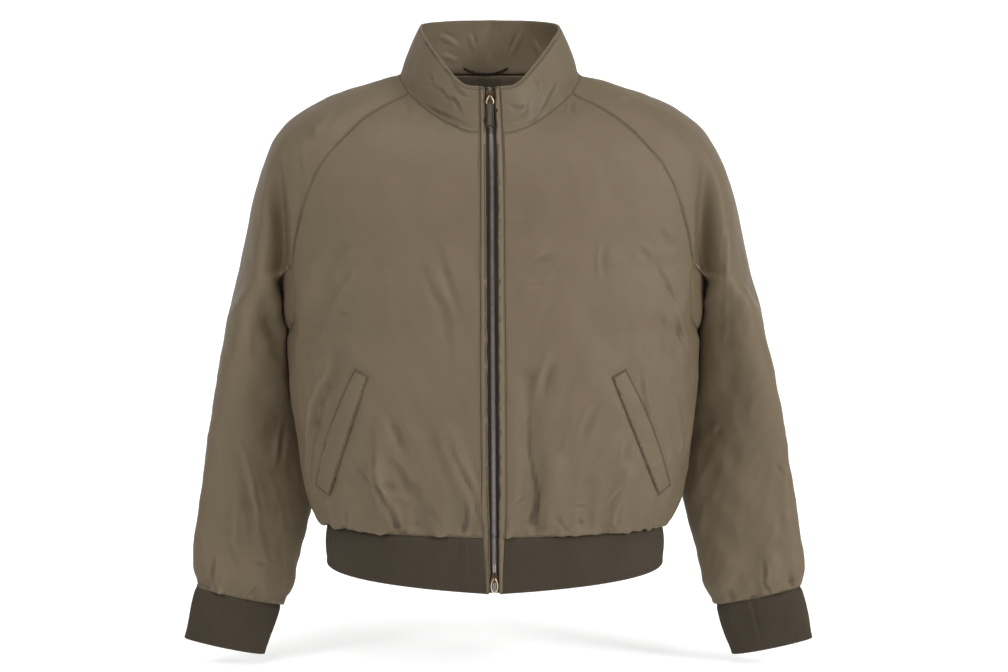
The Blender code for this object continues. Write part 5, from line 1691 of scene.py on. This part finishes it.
ribs = {
    # "pitch" from wale to wale, "height" of a wale, "wall" of both layers, "bulge" between the seam
    # and the fold, "tuck" into the seam, "sway" in and out along the band
    "pitch": 2.4, "columns": 4, "rows": 11, "height": 0.30, "wall": 3.4, "bulge": 2.2, "tuck": 3.0,
    "sway": 1.7, "swayOver": 34, "foldRows": 6, "innerRows": 4,
}


def resample(line, count, closed=False):
    line = np.asarray(line)
    if closed:
        line = np.concatenate((line, line[:1]))
    run = np.concatenate(([0.0], np.cumsum(np.linalg.norm(np.diff(line, axis=0), axis=1))))
    at = np.linspace(0, run[-1], count + 1)
    result = np.stack([np.interp(at, run, line[:, axis]) for axis in range(3)], axis=1)
    return result[:-1] if closed else result


def ribBand(name, top, foot, closed):
    # Two layers of knit folded at the foot, in one wall: down the outside, round, up the inside.
    length = float(np.linalg.norm(np.diff(top, axis=0), axis=1).sum())
    wales = int(round(length / ribs["pitch"]))
    count = wales * ribs["columns"]
    middle = np.mean(top, axis=0)
    side = np.cross(foot[len(foot) // 4] - top[len(top) // 4], top[len(top) // 4 + 1] - top[len(top) // 4])
    if side @ (top[len(top) // 4] - middle) < 0:
        top, foot = top[::-1], foot[::-1]
    upper, lower = resample(top, count, closed), resample(foot, count, closed)
    if closed:
        ahead, behind = np.roll(upper, -1, axis=0), np.roll(upper, 1, axis=0)
    else:
        ahead = np.concatenate((upper[1:], upper[-1:]))
        behind = np.concatenate((upper[:1], upper[:-1]))
    tangent = ahead - behind
    down = lower - upper
    outward = np.cross(down, tangent)
    outward /= np.linalg.norm(outward, axis=1)[:, None]
    flatDown = down / np.linalg.norm(down, axis=1)[:, None]
    phase = 2 * np.pi * np.arange(len(upper)) / ribs["columns"]
    sway = np.array([noise.noise(Vector((x / ribs["swayOver"], y / ribs["swayOver"], 5)))
                     for x, y, _ in upper])
    wave = np.cos(phase)
    half = ribs["wall"] / 2
    rows, grooveShade, heights = [], [], []
    deep = float(np.linalg.norm(down, axis=1).mean())
    for level in range(ribs["rows"] + 1):
        t = level / ribs["rows"]
        fall = math.sin(math.pi * min(t * 1.15, 1.0)) ** 0.8
        raised = ribs["bulge"] * fall - (1 - min(1.0, t * deep / ribs["tuck"])) * 0.8
        raised = raised + ribs["sway"] * math.sin(math.pi * t) * sway
        row = upper + down * t * (1 - half / deep) + outward * raised[:, None]
        fade = min(1.0, t * deep / 4 + 0.25)
        rows.append(row + outward * (ribs["height"] * wave * fade)[:, None])
        grooveShade.append((0.5 - 0.5 * wave) * fade)
        heights.append(t * deep)
    last = upper + down * (1 - half / deep)
    for step in range(1, ribs["foldRows"]):
        angle = math.pi * step / ribs["foldRows"]
        spot = last - outward * half * (1 - math.cos(angle)) + flatDown * half * math.sin(angle)
        away = outward * math.cos(angle) + flatDown * math.sin(angle)
        rows.append(spot + away * (ribs["height"] * wave)[:, None])
        grooveShade.append(0.5 - 0.5 * wave)
        heights.append(deep + 1.5 * step)
    for level in range(ribs["innerRows"] + 1):
        t = 1 - level / ribs["innerRows"]
        behind = ribs["wall"] - ribs["bulge"] * math.sin(math.pi * t) * 0.6
        row = upper + down * t * (1 - half / deep) - outward * behind
        rows.append(row - outward * (ribs["height"] * wave)[:, None])
        grooveShade.append(0.5 - 0.5 * wave)
        heights.append(deep + 12 + 20 * (1 - t))
    rows.append(rows[0])
    across = len(upper)
    spots = np.concatenate(rows[:-1])
    levels = len(rows) - 1
    wide = across if closed else across - 1
    run = np.arange(across + 1) * ribs["pitch"] / ribs["columns"]
    i, j = np.meshgrid(np.arange(levels), np.arange(wide), indexing="ij")
    i, j = i.ravel(), j.ravel()
    nextJ = (j + 1) % across
    nextI = (i + 1) % levels
    cells = np.stack((i * across + nextJ, i * across + j, nextI * across + j, nextI * across + nextJ), axis=1)
    high = np.array(heights + [heights[-1] + 4])
    flat = np.stack((
        np.stack((run[j + 1], high[i]), axis=1), np.stack((run[j], high[i]), axis=1),
        np.stack((run[j], high[i + 1]), axis=1), np.stack((run[j + 1], high[i + 1]), axis=1),
    ), axis=1)
    if not closed:
        # The two ends at the zip: fans of quads close the loop of the section.
        for column, turned in ((0, False), (across - 1, True)):
            ring = [level * across + column for level in range(levels)]
            left, right = 0, levels - 1
            while right - left >= 3:
                quad = [ring[left], ring[left + 1], ring[right - 1], ring[right]]
                cells = np.concatenate((cells, [quad if not turned else quad[::-1]]))
                flat = np.concatenate((flat, [[(0, 0), (1, 0), (1, 1), (0, 1)]]))
                left, right = left + 1, right - 1
    made = meshOf(name, spots, cells, flat, [ribKnit])
    # The mask for the painted shade between the wales goes along as an attribute.
    groove = np.concatenate(grooveShade)
    made.data.attributes.new("ribGrooveShade", "FLOAT", "POINT").data.foreach_set("value", groove)
    makeActive(made)
    return made


def seamLoop(first, second):
    # The border of piece `first` where it meets `second`, in order.
    on = np.zeros(len(points), dtype=bool)
    on[np.unique(pieceCells(*second)[0])] = True
    edges = borderOf(pieceCells(*first)[0])
    edges = edges[on[edges[:, 0]] & on[edges[:, 1]]]
    following = {int(a): int(b) for a, b in edges}
    starts = set(following) - set(following.values())
    here = min(starts) if starts else next(iter(following))
    loop = [here]
    while here in following and following[here] != loop[0]:
        here = following[here]
        loop.append(here)
    return points[loop]


def alignedTo(loop, guide):
    # The same loop, started and turned as the guide loop is.
    middle, guideMiddle = loop.mean(axis=0), guide.mean(axis=0)
    start = int(np.argmin(np.linalg.norm(loop - middle - (guide[0] - guideMiddle), axis=1)))
    loop = np.roll(loop, -start, axis=0)
    quarter, guideQuarter = loop[len(loop) // 4] - middle, guide[len(guide) // 4] - guideMiddle
    if quarter @ guideQuarter < 0:
        loop = np.roll(loop[::-1], 1, axis=0)
    return loop


def addRibs():
    # The bands start on the skin's own seams, so that they join the cloth.
    seam = seamLoop(("rib",), ("frontRight", "frontLeft", "back"))
    if seam[0][0] < seam[-1][0]:
        seam = seam[::-1]
    sleeve = sleeveRows()
    hem = bodyRows(sleeve, True)[0] + bodyRows(sleeve, False)[0][::-1][1:]
    half = ribRows(hem)[0]
    foot = np.array([tuple(p) for p in swayed(half + mirrored(half)[::-1][1:])])
    bands = [(ribBand("hem_rib_knit", seam, foot, False), "hem_rib", (0.90, 0.082))]
    for word, turn in (("Right", 1), ("Left", -1)):
        row = cuffRows(sleeve[-1])[-1]
        row = swayed(row if turn > 0 else mirrored(row), True)
        foot = np.array([tuple(p) for p in row[:-1]])
        seam = alignedTo(seamLoop(("cuff" + word,), ("sleeve" + word,)), foot)
        cadNode = "cuff_" + word.lower()
        bands.append((ribBand(cadNode + "_knit", seam, foot, True), cadNode, (0.26, 0.082)))
    for made, cadNode, flat in bands:
        carry(made, cadNode)
        sayArea(made)


addRibs()


def runAlong(grid, axis):
    # How far each spot of a grid is along its row or column.
    steps = np.cumsum(np.linalg.norm(np.diff(grid, axis=axis), axis=2), axis=axis)
    start = np.zeros((grid.shape[0], 1) if axis else (1, grid.shape[1]))
    return np.concatenate((start, steps), axis=axis)


def gridPiece(name, grid, wall, finish, lift=0.0, flip=False):
    # A small piece of cloth from rows of spots, thickened away from its outer face.
    grid = np.asarray(grid, dtype=float)
    high, wide = grid.shape[:2]
    spots = grid.reshape(-1, 3)
    i, j = np.meshgrid(np.arange(high - 1), np.arange(wide - 1), indexing="ij")
    base = (i * wide + j).ravel()
    cells = np.stack((base, base + 1, base + wide + 1, base + wide), axis=1)
    flatAt = np.stack((runAlong(grid, 1), runAlong(grid, 0)), axis=2).reshape(-1, 2)
    if flip:
        cells = cells[:, ::-1]
    facing = normalsOf(spots, cells)
    none = np.zeros(len(spots), dtype=bool)
    return wallOf(name, spots, cells, flatAt[cells], facing, none, wall, finish, finish, lift=lift)


def centreSpot(height):
    # The zip's centre line at a height, and the way up along it.
    for low, high in zip(centreLine, centreLine[1:]):
        if low.z <= height <= high.z:
            break
    return low.lerp(high, (height - low.z) / (high.z - low.z)), (high - low).normalized()


zipper = {
    # heights of the zip's ends and of its sliders
    "foot": -626.0, "top": -15.5, "pitch": 2.5, "sliderTop": -26.0, "sliderBottom": -606.0,
    "tapeIn": 1.2, "tapeOut": 9.4, "tapeDeep": 3.2, "tapeWall": 0.9, "tapeRows": 200,
    "tooth": (3.3, 1.9, 1.25), "toothDeep": 1.7, "overlap": 0.55, "toothInset": 0.16, "toothTip": 0.35,
    "strips": {
        "wall": 1.8, "wave": 0.9, "crinkle": 0.22, "roll": 1.1,
        "inwardZ": (-640, -560, -500, -120, -60, 0), "inward": (2.1, 1.9, 0.5, 0.2, 1.1, 1.3),
    },
}


def addPlackets():
    # Narrow folded strips beside the zip; their free edges run a little unevenly.
    global points
    strips = zipper["strips"]
    for word, turn in (("Right", 1), ("Left", -1)):
        chosen = ownerMask(("placket" + word,)) & ~shared
        for corner in np.where(chosen)[0]:
            x, _, z = points[corner]
            middle = centreSpot(max(centreLine[0].z, min(centreLine[-1].z, z)))[0]
            edge = edgeAt(z)
            t = max(0.0, min(1.0, (edge - abs(x - middle.x)) / (edge - form["plackets"])))
            sway = strips["wave"] * noise.noise(Vector((z / 17, turn * 3, 0)))
            sway += strips["crinkle"] * noise.noise(Vector((z / 5, turn * 9, 4)))
            lift = strips["roll"] * math.sin(math.pi * t) + 0.9 * t * noise.noise(Vector((z / 12, turn, 8)))
            inward = float(np.interp(z, strips["inwardZ"], strips["inward"]))
            points[corner] += np.array((turn * (sway - inward) * t, 0, 0)) + normals[corner] * lift
        cells, flat = pieceCells("placket" + word)
        cadNode = "placket_" + word.lower()
        made = wallOf(cadNode + "_cloth", points, cells, flat, normalsOf(points, cells), shared,
                      strips["wall"], stripTwill, stripTwill)
        carry(made, cadNode)
        sayArea(made)


def addTapes():
    # What shows of the woven tapes between the teeth and the strips.
    for word, turn in (("right", 1), ("left", -1)):
        rows = []
        count = zipper["tapeRows"]
        for step in range(count + 1):
            height = zipper["foot"] + (zipper["top"] - zipper["foot"]) * step / count
            spot, up = centreSpot(height)
            out = Vector((1, 0, 0)).cross(up)
            row = []
            for part in range(4):
                x = turn * (zipper["tapeIn"] + (zipper["tapeOut"] - zipper["tapeIn"]) * part / 3)
                row.append(tuple(spot + Vector((x, 0, 0)) - out * zipper["tapeDeep"]))
            rows.append(row)
        cadNode = "zip_tape_" + word
        made = gridPiece(cadNode + "_weave", rows, zipper["tapeWall"], tapeWeave, flip=turn < 0)
        carry(made, cadNode)


def cubeOf(name, size, centre=(0, 0, 0)):
    deselectAll()
    bpy.ops.mesh.primitive_cube_add(size=1.0, location=(0, 0, 0))
    made = bpy.context.object
    made.name = name
    made.scale = Vector(size) * mm
    made.location = Vector(centre) * mm
    bpy.ops.object.transform_apply(location=True, rotation=False, scale=True)
    return made


def editFaces(thing, test):
    # Into edit mode with only the faces that pass the test selected; `test` gets centre and normal.
    makeActive(thing)
    bpy.ops.object.mode_set(mode="EDIT")
    bpy.ops.mesh.select_mode(type="FACE")
    bpy.ops.mesh.select_all(action="DESELECT")
    work = bmesh.from_edit_mesh(thing.data)
    for face in work.faces:
        face.select_set(bool(test(face.calc_center_median() / mm, face.normal)))
    work.select_flush_mode()
    bmesh.update_edit_mesh(thing.data)


def leaveEdit():
    bpy.ops.object.mode_set(mode="OBJECT")


def bevelAll(thing, width, segments=2, angle=30):
    makeActive(thing)
    modifier = thing.modifiers.new("softened", "BEVEL")
    modifier.width = width * mm
    modifier.segments = segments
    modifier.limit_method = "ANGLE"
    modifier.angle_limit = math.radians(angle)
    bpy.ops.object.modifier_apply(modifier=modifier.name)


def joined(parts, name):
    deselectAll()
    for part in parts:
        part.select_set(True)
    bpy.context.view_layer.objects.active = parts[0]
    bpy.ops.object.join()
    made = bpy.context.object
    made.name = made.data.name = name
    return made


def finishHard(thing, material, angle=35):
    thing.data.materials.clear()
    thing.data.materials.append(material)
    makeActive(thing)
    bpy.ops.object.shade_smooth_by_angle(angle=math.radians(angle))


def carryHard(made, cadNode, body="jacket"):
    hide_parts(cadNode)
    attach(made, body)


def addTeeth():
    # Two rows of small blocks, half a pitch apart, that overlap in the middle.
    long, thick, tall = zipper["tooth"]
    tooth = cubeOf("tooth", (long, thick, tall))
    editFaces(tooth, lambda centre, normal: normal.x > 0.9)
    bpy.ops.mesh.inset(thickness=zipper["toothInset"] * mm, use_even_offset=True)
    bpy.ops.transform.translate(value=(zipper["toothTip"] * mm, 0, 0))
    leaveEdit()
    bevelAll(tooth, 0.2, 1)
    copies = []
    count = int((zipper["top"] - zipper["foot"]) / zipper["pitch"])
    for turn in (1, -1):
        for step in range(count):
            height = zipper["foot"] + 1.2 + zipper["pitch"] * (step + (0.5 if turn < 0 else 0))
            spot, up = centreSpot(height)
            out = Vector((1, 0, 0)).cross(up)
            place = spot + Vector((turn * (long / 2 - zipper["overlap"]), 0, 0)) - out * zipper["toothDeep"]
            basis = Matrix((Vector((-turn, 0, 0)), -out * turn, up)).transposed()
            one = tooth.copy()
            one.data = tooth.data.copy()
            bpy.context.scene.collection.objects.link(one)
            one.data.transform(Matrix.Translation(place * mm) @ basis.to_4x4())
            copies.append(one)
    bpy.data.objects.remove(tooth)
    made = joined(copies, "zip_teeth")
    finishHard(made, teethMetal)
    carryHard(made, "zip_chain")
    print("teeth", len(copies))


def turnedTo(thing, spot, up):
    # From its own upright place at the origin to a spot on the zip.
    out = Vector((1, 0, 0)).cross(up)
    basis = Matrix((Vector((1, 0, 0)), -out, up)).transposed()
    thing.data.transform(Matrix.Translation(spot * mm) @ basis.to_4x4())


slider = {
    "half": 4.6, "narrow": 3.6, "long": 12.5, "plate": 1.3, "slimmer": 0.86,
    "shoulders": ((0.25, 1.0), (0.15, 0.72)),  # rise as a share of the length, and width
    "backThick": 1.0, "backAt": 2.6, "wedge": (1.6, 2.8, 3.0),
    "bridge": (1.5, 1.3, 9.5), "bridgeOff": 3.0, "foot": (3.4, 1.6),
}


def addSlider(cadNode, height, upsideDown):
    # The front plate with its shoulders, the wedge behind, and a bridge that holds the pull.
    spot, up = centreSpot(height)
    long, thick = slider["long"], slider["plate"]
    # The plate grows upwards from a slab: a taper to its foot, a straight part, drawn-in shoulders.
    plate = cubeOf("plate", (2 * slider["half"], thick, long * 0.6), (0, -thick / 2 - 0.2, -long * 0.2))
    editFaces(plate, lambda centre, normal: normal.z < -0.9)
    bpy.ops.transform.resize(value=(slider["narrow"] / slider["half"], 1, 1), center_override=(0, 0, 0))
    leaveEdit()
    for rise, width in slider["shoulders"]:
        editFaces(plate, lambda centre, normal: normal.z > 0.9)
        bpy.ops.mesh.extrude_region_move(TRANSFORM_OT_translate={"value": (0, 0, rise * long * mm)})
        bpy.ops.transform.resize(value=(width, 1, 1), center_override=(0, 0, 0))
        leaveEdit()
    bevelAll(plate, 0.35, 2)
    back = cubeOf("back", (2 * slider["narrow"], slider["backThick"], long * 0.9), (0, slider["backAt"], 0))
    bevelAll(back, 0.3, 2)
    wedge = cubeOf("wedge", slider["wedge"], (0, 1.2, long / 2 - 2.2))
    bevelAll(wedge, 0.3, 2)
    wide, deep, tall = slider["bridge"]
    bridge = cubeOf("bridge", (wide, deep, tall), (0, -thick - slider["bridgeOff"], 0))
    bevelAll(bridge, 0.35, 2)
    feet = []
    footDeep, footTall = slider["foot"]
    for end in (1, -1):
        foot = cubeOf("foot", (wide, footDeep, footTall), (0, -thick - 1.5, end * (tall / 2 - 0.6)))
        bevelAll(foot, 0.3, 2)
        feet.append(foot)
    made = joined([plate, back, wedge, bridge] + feet, cadNode + "_metal")
    if upsideDown:
        made.data.transform(Matrix.Rotation(math.pi, 4, "Y") @ Matrix.Diagonal((slider["slimmer"], 1, 1, 1)))
    turnedTo(made, spot, up)
    finishHard(made, darkBrass)
    carryHard(made, cadNode)


def wireLoop(name, outline, radius, axis):
    # Bent wire: a closed rounded outline in X and Z, hung from the axis point.
    curve = bpy.data.curves.new(name, "CURVE")
    curve.dimensions = "3D"
    curve.bevel_depth = radius * mm
    curve.bevel_resolution = 4
    curve.resolution_u = 8
    spline = curve.splines.new("BEZIER")
    spline.bezier_points.add(len(outline) - 1)
    for spot, (x, z) in zip(spline.bezier_points, outline):
        spot.co = (Vector(axis) + Vector((x, 0, z))) * mm
        spot.handle_left_type = spot.handle_right_type = "AUTO"
    spline.use_cyclic_u = True
    thing = bpy.data.objects.new(name, curve)
    bpy.context.scene.collection.objects.link(thing)
    makeActive(thing)
    bpy.ops.object.convert(target="MESH")
    return bpy.context.object


pulls = {
    # the axis of each link, its half widths and length, and the cloth tab on the upper one
    "topAxis": (-1.72, -100.13, -25.87), "bottomAxis": (3.44, -107.44, -606.31),
    "topNarrow": 1.2, "topHalf": 4.2, "topLong": 9.4, "wire": 0.75, "bottomHalf": 2.8, "bottomLong": 17.0,
    "strap": {"half": 4.5, "long": 30.0, "thick": 1.9, "below": 7.2, "neck": 0.82, "domed": 0.25,
              "rows": 27, "columns": 8},
}


def ringOutline(narrow, half, long, corner):
    # A link `narrow` at its axis and `half` at its foot, half widths, with rounded corners.
    return [(-narrow + corner, 0), (narrow - corner, 0), (narrow, -corner), (half, -long + corner),
            (half - corner, -long), (-half + corner, -long), (-half, -long + corner), (-narrow, -corner)]


def addPulls():
    # Bent wire links on both sliders, and the folded cloth tab on the upper one.
    outline = ringOutline(pulls["topNarrow"], pulls["topHalf"], pulls["topLong"], 0.9)
    link = wireLoop("zip_link_top_wire", outline, pulls["wire"], pulls["topAxis"])
    outline = ringOutline(pulls["bottomHalf"] * 0.7, pulls["bottomHalf"], pulls["bottomLong"], 1.9)
    ring = wireLoop("zip_link_bottom_wire", outline, pulls["wire"], pulls["bottomAxis"])
    for made, cadNode, body in (
        (link, "zip_link_top", "top_pull"), (ring, "zip_link_bottom", "bottom_pull"),
    ):
        finishHard(made, brass, 60)
        carryHard(made, cadNode, body)
    sizes = pulls["strap"]
    axis = Vector(pulls["topAxis"])
    rows = []
    for level in range(sizes["rows"] + 1):
        share = level / sizes["rows"]
        height = axis.z - sizes["below"] - sizes["long"] * share
        half = sizes["half"] * (sizes["neck"] + 0.18 * min(1.0, share * 4))
        row = []
        for part in range(sizes["columns"] + 1):
            across = -1 + part / (sizes["columns"] / 2)
            domed = sizes["domed"] * (1 - across * across)
            row.append((axis.x + half * across, axis.y - sizes["thick"] / 2 - domed, height))
        rows.append(row)
    strap = gridPiece("zip_strap_top_cloth", rows, sizes["thick"], strapTwill, flip=True)
    carry(strap, "zip_strap_top", body="top_pull")


def addWelts():
    tree = treeOfSkin(("front",))
    high, wide = weltSize["rows"], weltSize["columns"]
    for welt in welts:
        rows = []
        for level in range(high + 1):
            row = []
            for part in range(wide + 1):
                x, z = weltSpot(welt, level / high, part / wide)
                row.append(tuple(tree.ray_cast(Vector((x, -400, z)), Vector((0, 1, 0)))[0]))
            rows.append(row)
        grid = np.array(rows)
        # Evened out, so that it lies flatter than the front under it, then rippled near its foot.
        for _ in range(weltSize["evened"]):
            middle = grid[1:-1, :, 1]
            grid[1:-1, :, 1] = 0.5 * middle + 0.25 * (grid[2:, :, 1] + grid[:-2, :, 1])
            middle = grid[:, 1:-1, 1]
            grid[:, 1:-1, 1] = 0.5 * middle + 0.25 * (grid[:, 2:, 1] + grid[:, :-2, 1])
        for level in range(high + 1):
            for part in range(wide + 1):
                x, _, z = grid[level, part]
                small = 1 - 2.6 * abs(noise.noise(Vector((x / 20, 0, z / 7.5))))
                low = 0.25 + 0.75 * min(1.0, max(0.0, (level - 55) / 30))
                across = math.sin(math.pi * (0.15 + 0.7 * part / wide))
                grid[level, part, 1] -= weltSize["ripple"] * low * small * across
        flip = welt["corners"][0][0] > 0
        made = gridPiece(welt["node"] + "_cloth", grid, weltSize["wall"], weltTwill, weltSize["lift"], flip)
        carry(made, welt["node"])


neck = {
    "liningRows": 9, "liningHalf": 12, "liningBehind": 3.2,
    "liningWall": 0.8, "labelWall": 0.7, "labelCells": (8, 10), "loopWall": 1.2, "loopCells": (4, 32),
    "label": (-18.0, 9.0, -10.0, 5.0),  # left, right, low, high
    "loop": {"from": -37.0, "wide": 57.0, "z": 19.0, "sag": 30.0, "high": 3.0, "off": 3.6, "bow": 2.4},
}


def addNeckPieces():
    # The lining below the back neck seam, the bare label on it, and the hanger loop above.
    sleeve = sleeveRows()
    half = bodyRows(sleeve, False)
    middle = cage["backHalf"]
    rows = []
    for row in half[-neck["liningRows"]:]:
        whole = swayed(mirrored(row)[::-1][:-1] + row)
        first, last = middle - neck["liningHalf"], middle + neck["liningHalf"]
        rows.append([tuple(p) for p in whole[first:last + 1]])
    wall, behind = neck["liningWall"], neck["liningBehind"]
    lining = gridPiece("neck_lining_cloth", rows, wall, liningTwill, -behind, True)
    carry(lining, "neck_lining")
    spots = [vertex.co / mm for vertex in lining.data.vertices]
    tree = BVHTree.FromPolygons(spots, [tuple(polygon.vertices) for polygon in lining.data.polygons])
    back = Vector((0, 1, 0))
    left, right, low, high = neck["label"]
    rows = []
    down, over = neck["labelCells"]
    for level in range(down + 1):
        z = low + (high - low) * level / down
        starts = [Vector((left + (right - left) * part / over, 0, z)) for part in range(over + 1)]
        rows.append([tuple(tree.ray_cast(start, back)[0]) for start in starts])
    label = gridPiece("label_patch_blank", rows, neck["labelWall"], labelWeave, 1.0)
    carry(label, "label_patch")
    tree = treeOfSkin(("collar", "back"))
    hung = neck["loop"]
    rows = []
    down, over = neck["loopCells"]
    for level in range(down + 1):
        row = []
        for part in range(over + 1):
            share = part / over
            x = hung["from"] + hung["wide"] * share
            z = hung["z"] - hung["sag"] * share * (1 - share) - hung["high"] + hung["high"] * level / down
            hit = tree.ray_cast(Vector((x, 0, z)), back)[0]
            row.append((hit.x, hit.y - hung["off"] - hung["bow"] * math.sin(math.pi * share), hit.z))
        rows.append(row)
    loop = gridPiece("hanger_loop_tape", rows, neck["loopWall"], tapeLoop, 0.6)
    carry(loop, "hanger_loop")


eyelet = {"radius": 1.9, "wire": 0.7, "hole": 1.6, "holeDeep": 0.4, "proud": 0.7, "sides": 24}


def addEyelets():
    # Rolled brass rings with a dark opening.
    for cadNode in ("eyelet_left_1", "eyelet_left_2", "eyelet_right_1", "eyelet_right_2"):
        low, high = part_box(cadNode)
        centre = (Vector(low) + Vector(high)) / 2
        word = "Right" if centre.x > 0 else "Left"
        tree = treeOfSkin(("gusset" + word,))
        hit, normal = tree.find_nearest(centre / mm)[:2]
        if normal.x * centre.x < 0:
            normal = -normal
        turn = normal.to_track_quat("Z", "Y")
        deselectAll()
        bpy.ops.mesh.primitive_torus_add(
            major_segments=eyelet["sides"], minor_segments=8,
            major_radius=eyelet["radius"] * mm, minor_radius=eyelet["wire"] * mm,
        )
        ring = bpy.context.object
        deselectAll()
        bpy.ops.mesh.primitive_cylinder_add(
            vertices=eyelet["sides"], radius=eyelet["hole"] * mm, depth=eyelet["holeDeep"] * mm,
        )
        hole = bpy.context.object
        hole.data.materials.append(darkHole)
        finishHard(ring, darkBrass, 60)
        made = joined([ring, hole], cadNode + "_brass")
        at = (hit + normal * eyelet["proud"]) * mm
        made.data.transform(Matrix.Translation(at) @ turn.to_matrix().to_4x4())
        carryHard(made, cadNode)


addPlackets()
addTapes()
addTeeth()
addSlider("zip_slider_top", zipper["sliderTop"], False)
addSlider("zip_slider_bottom", zipper["sliderBottom"], True)
addPulls()
addWelts()
addNeckPieces()
addEyelets()
print("all pieces made")
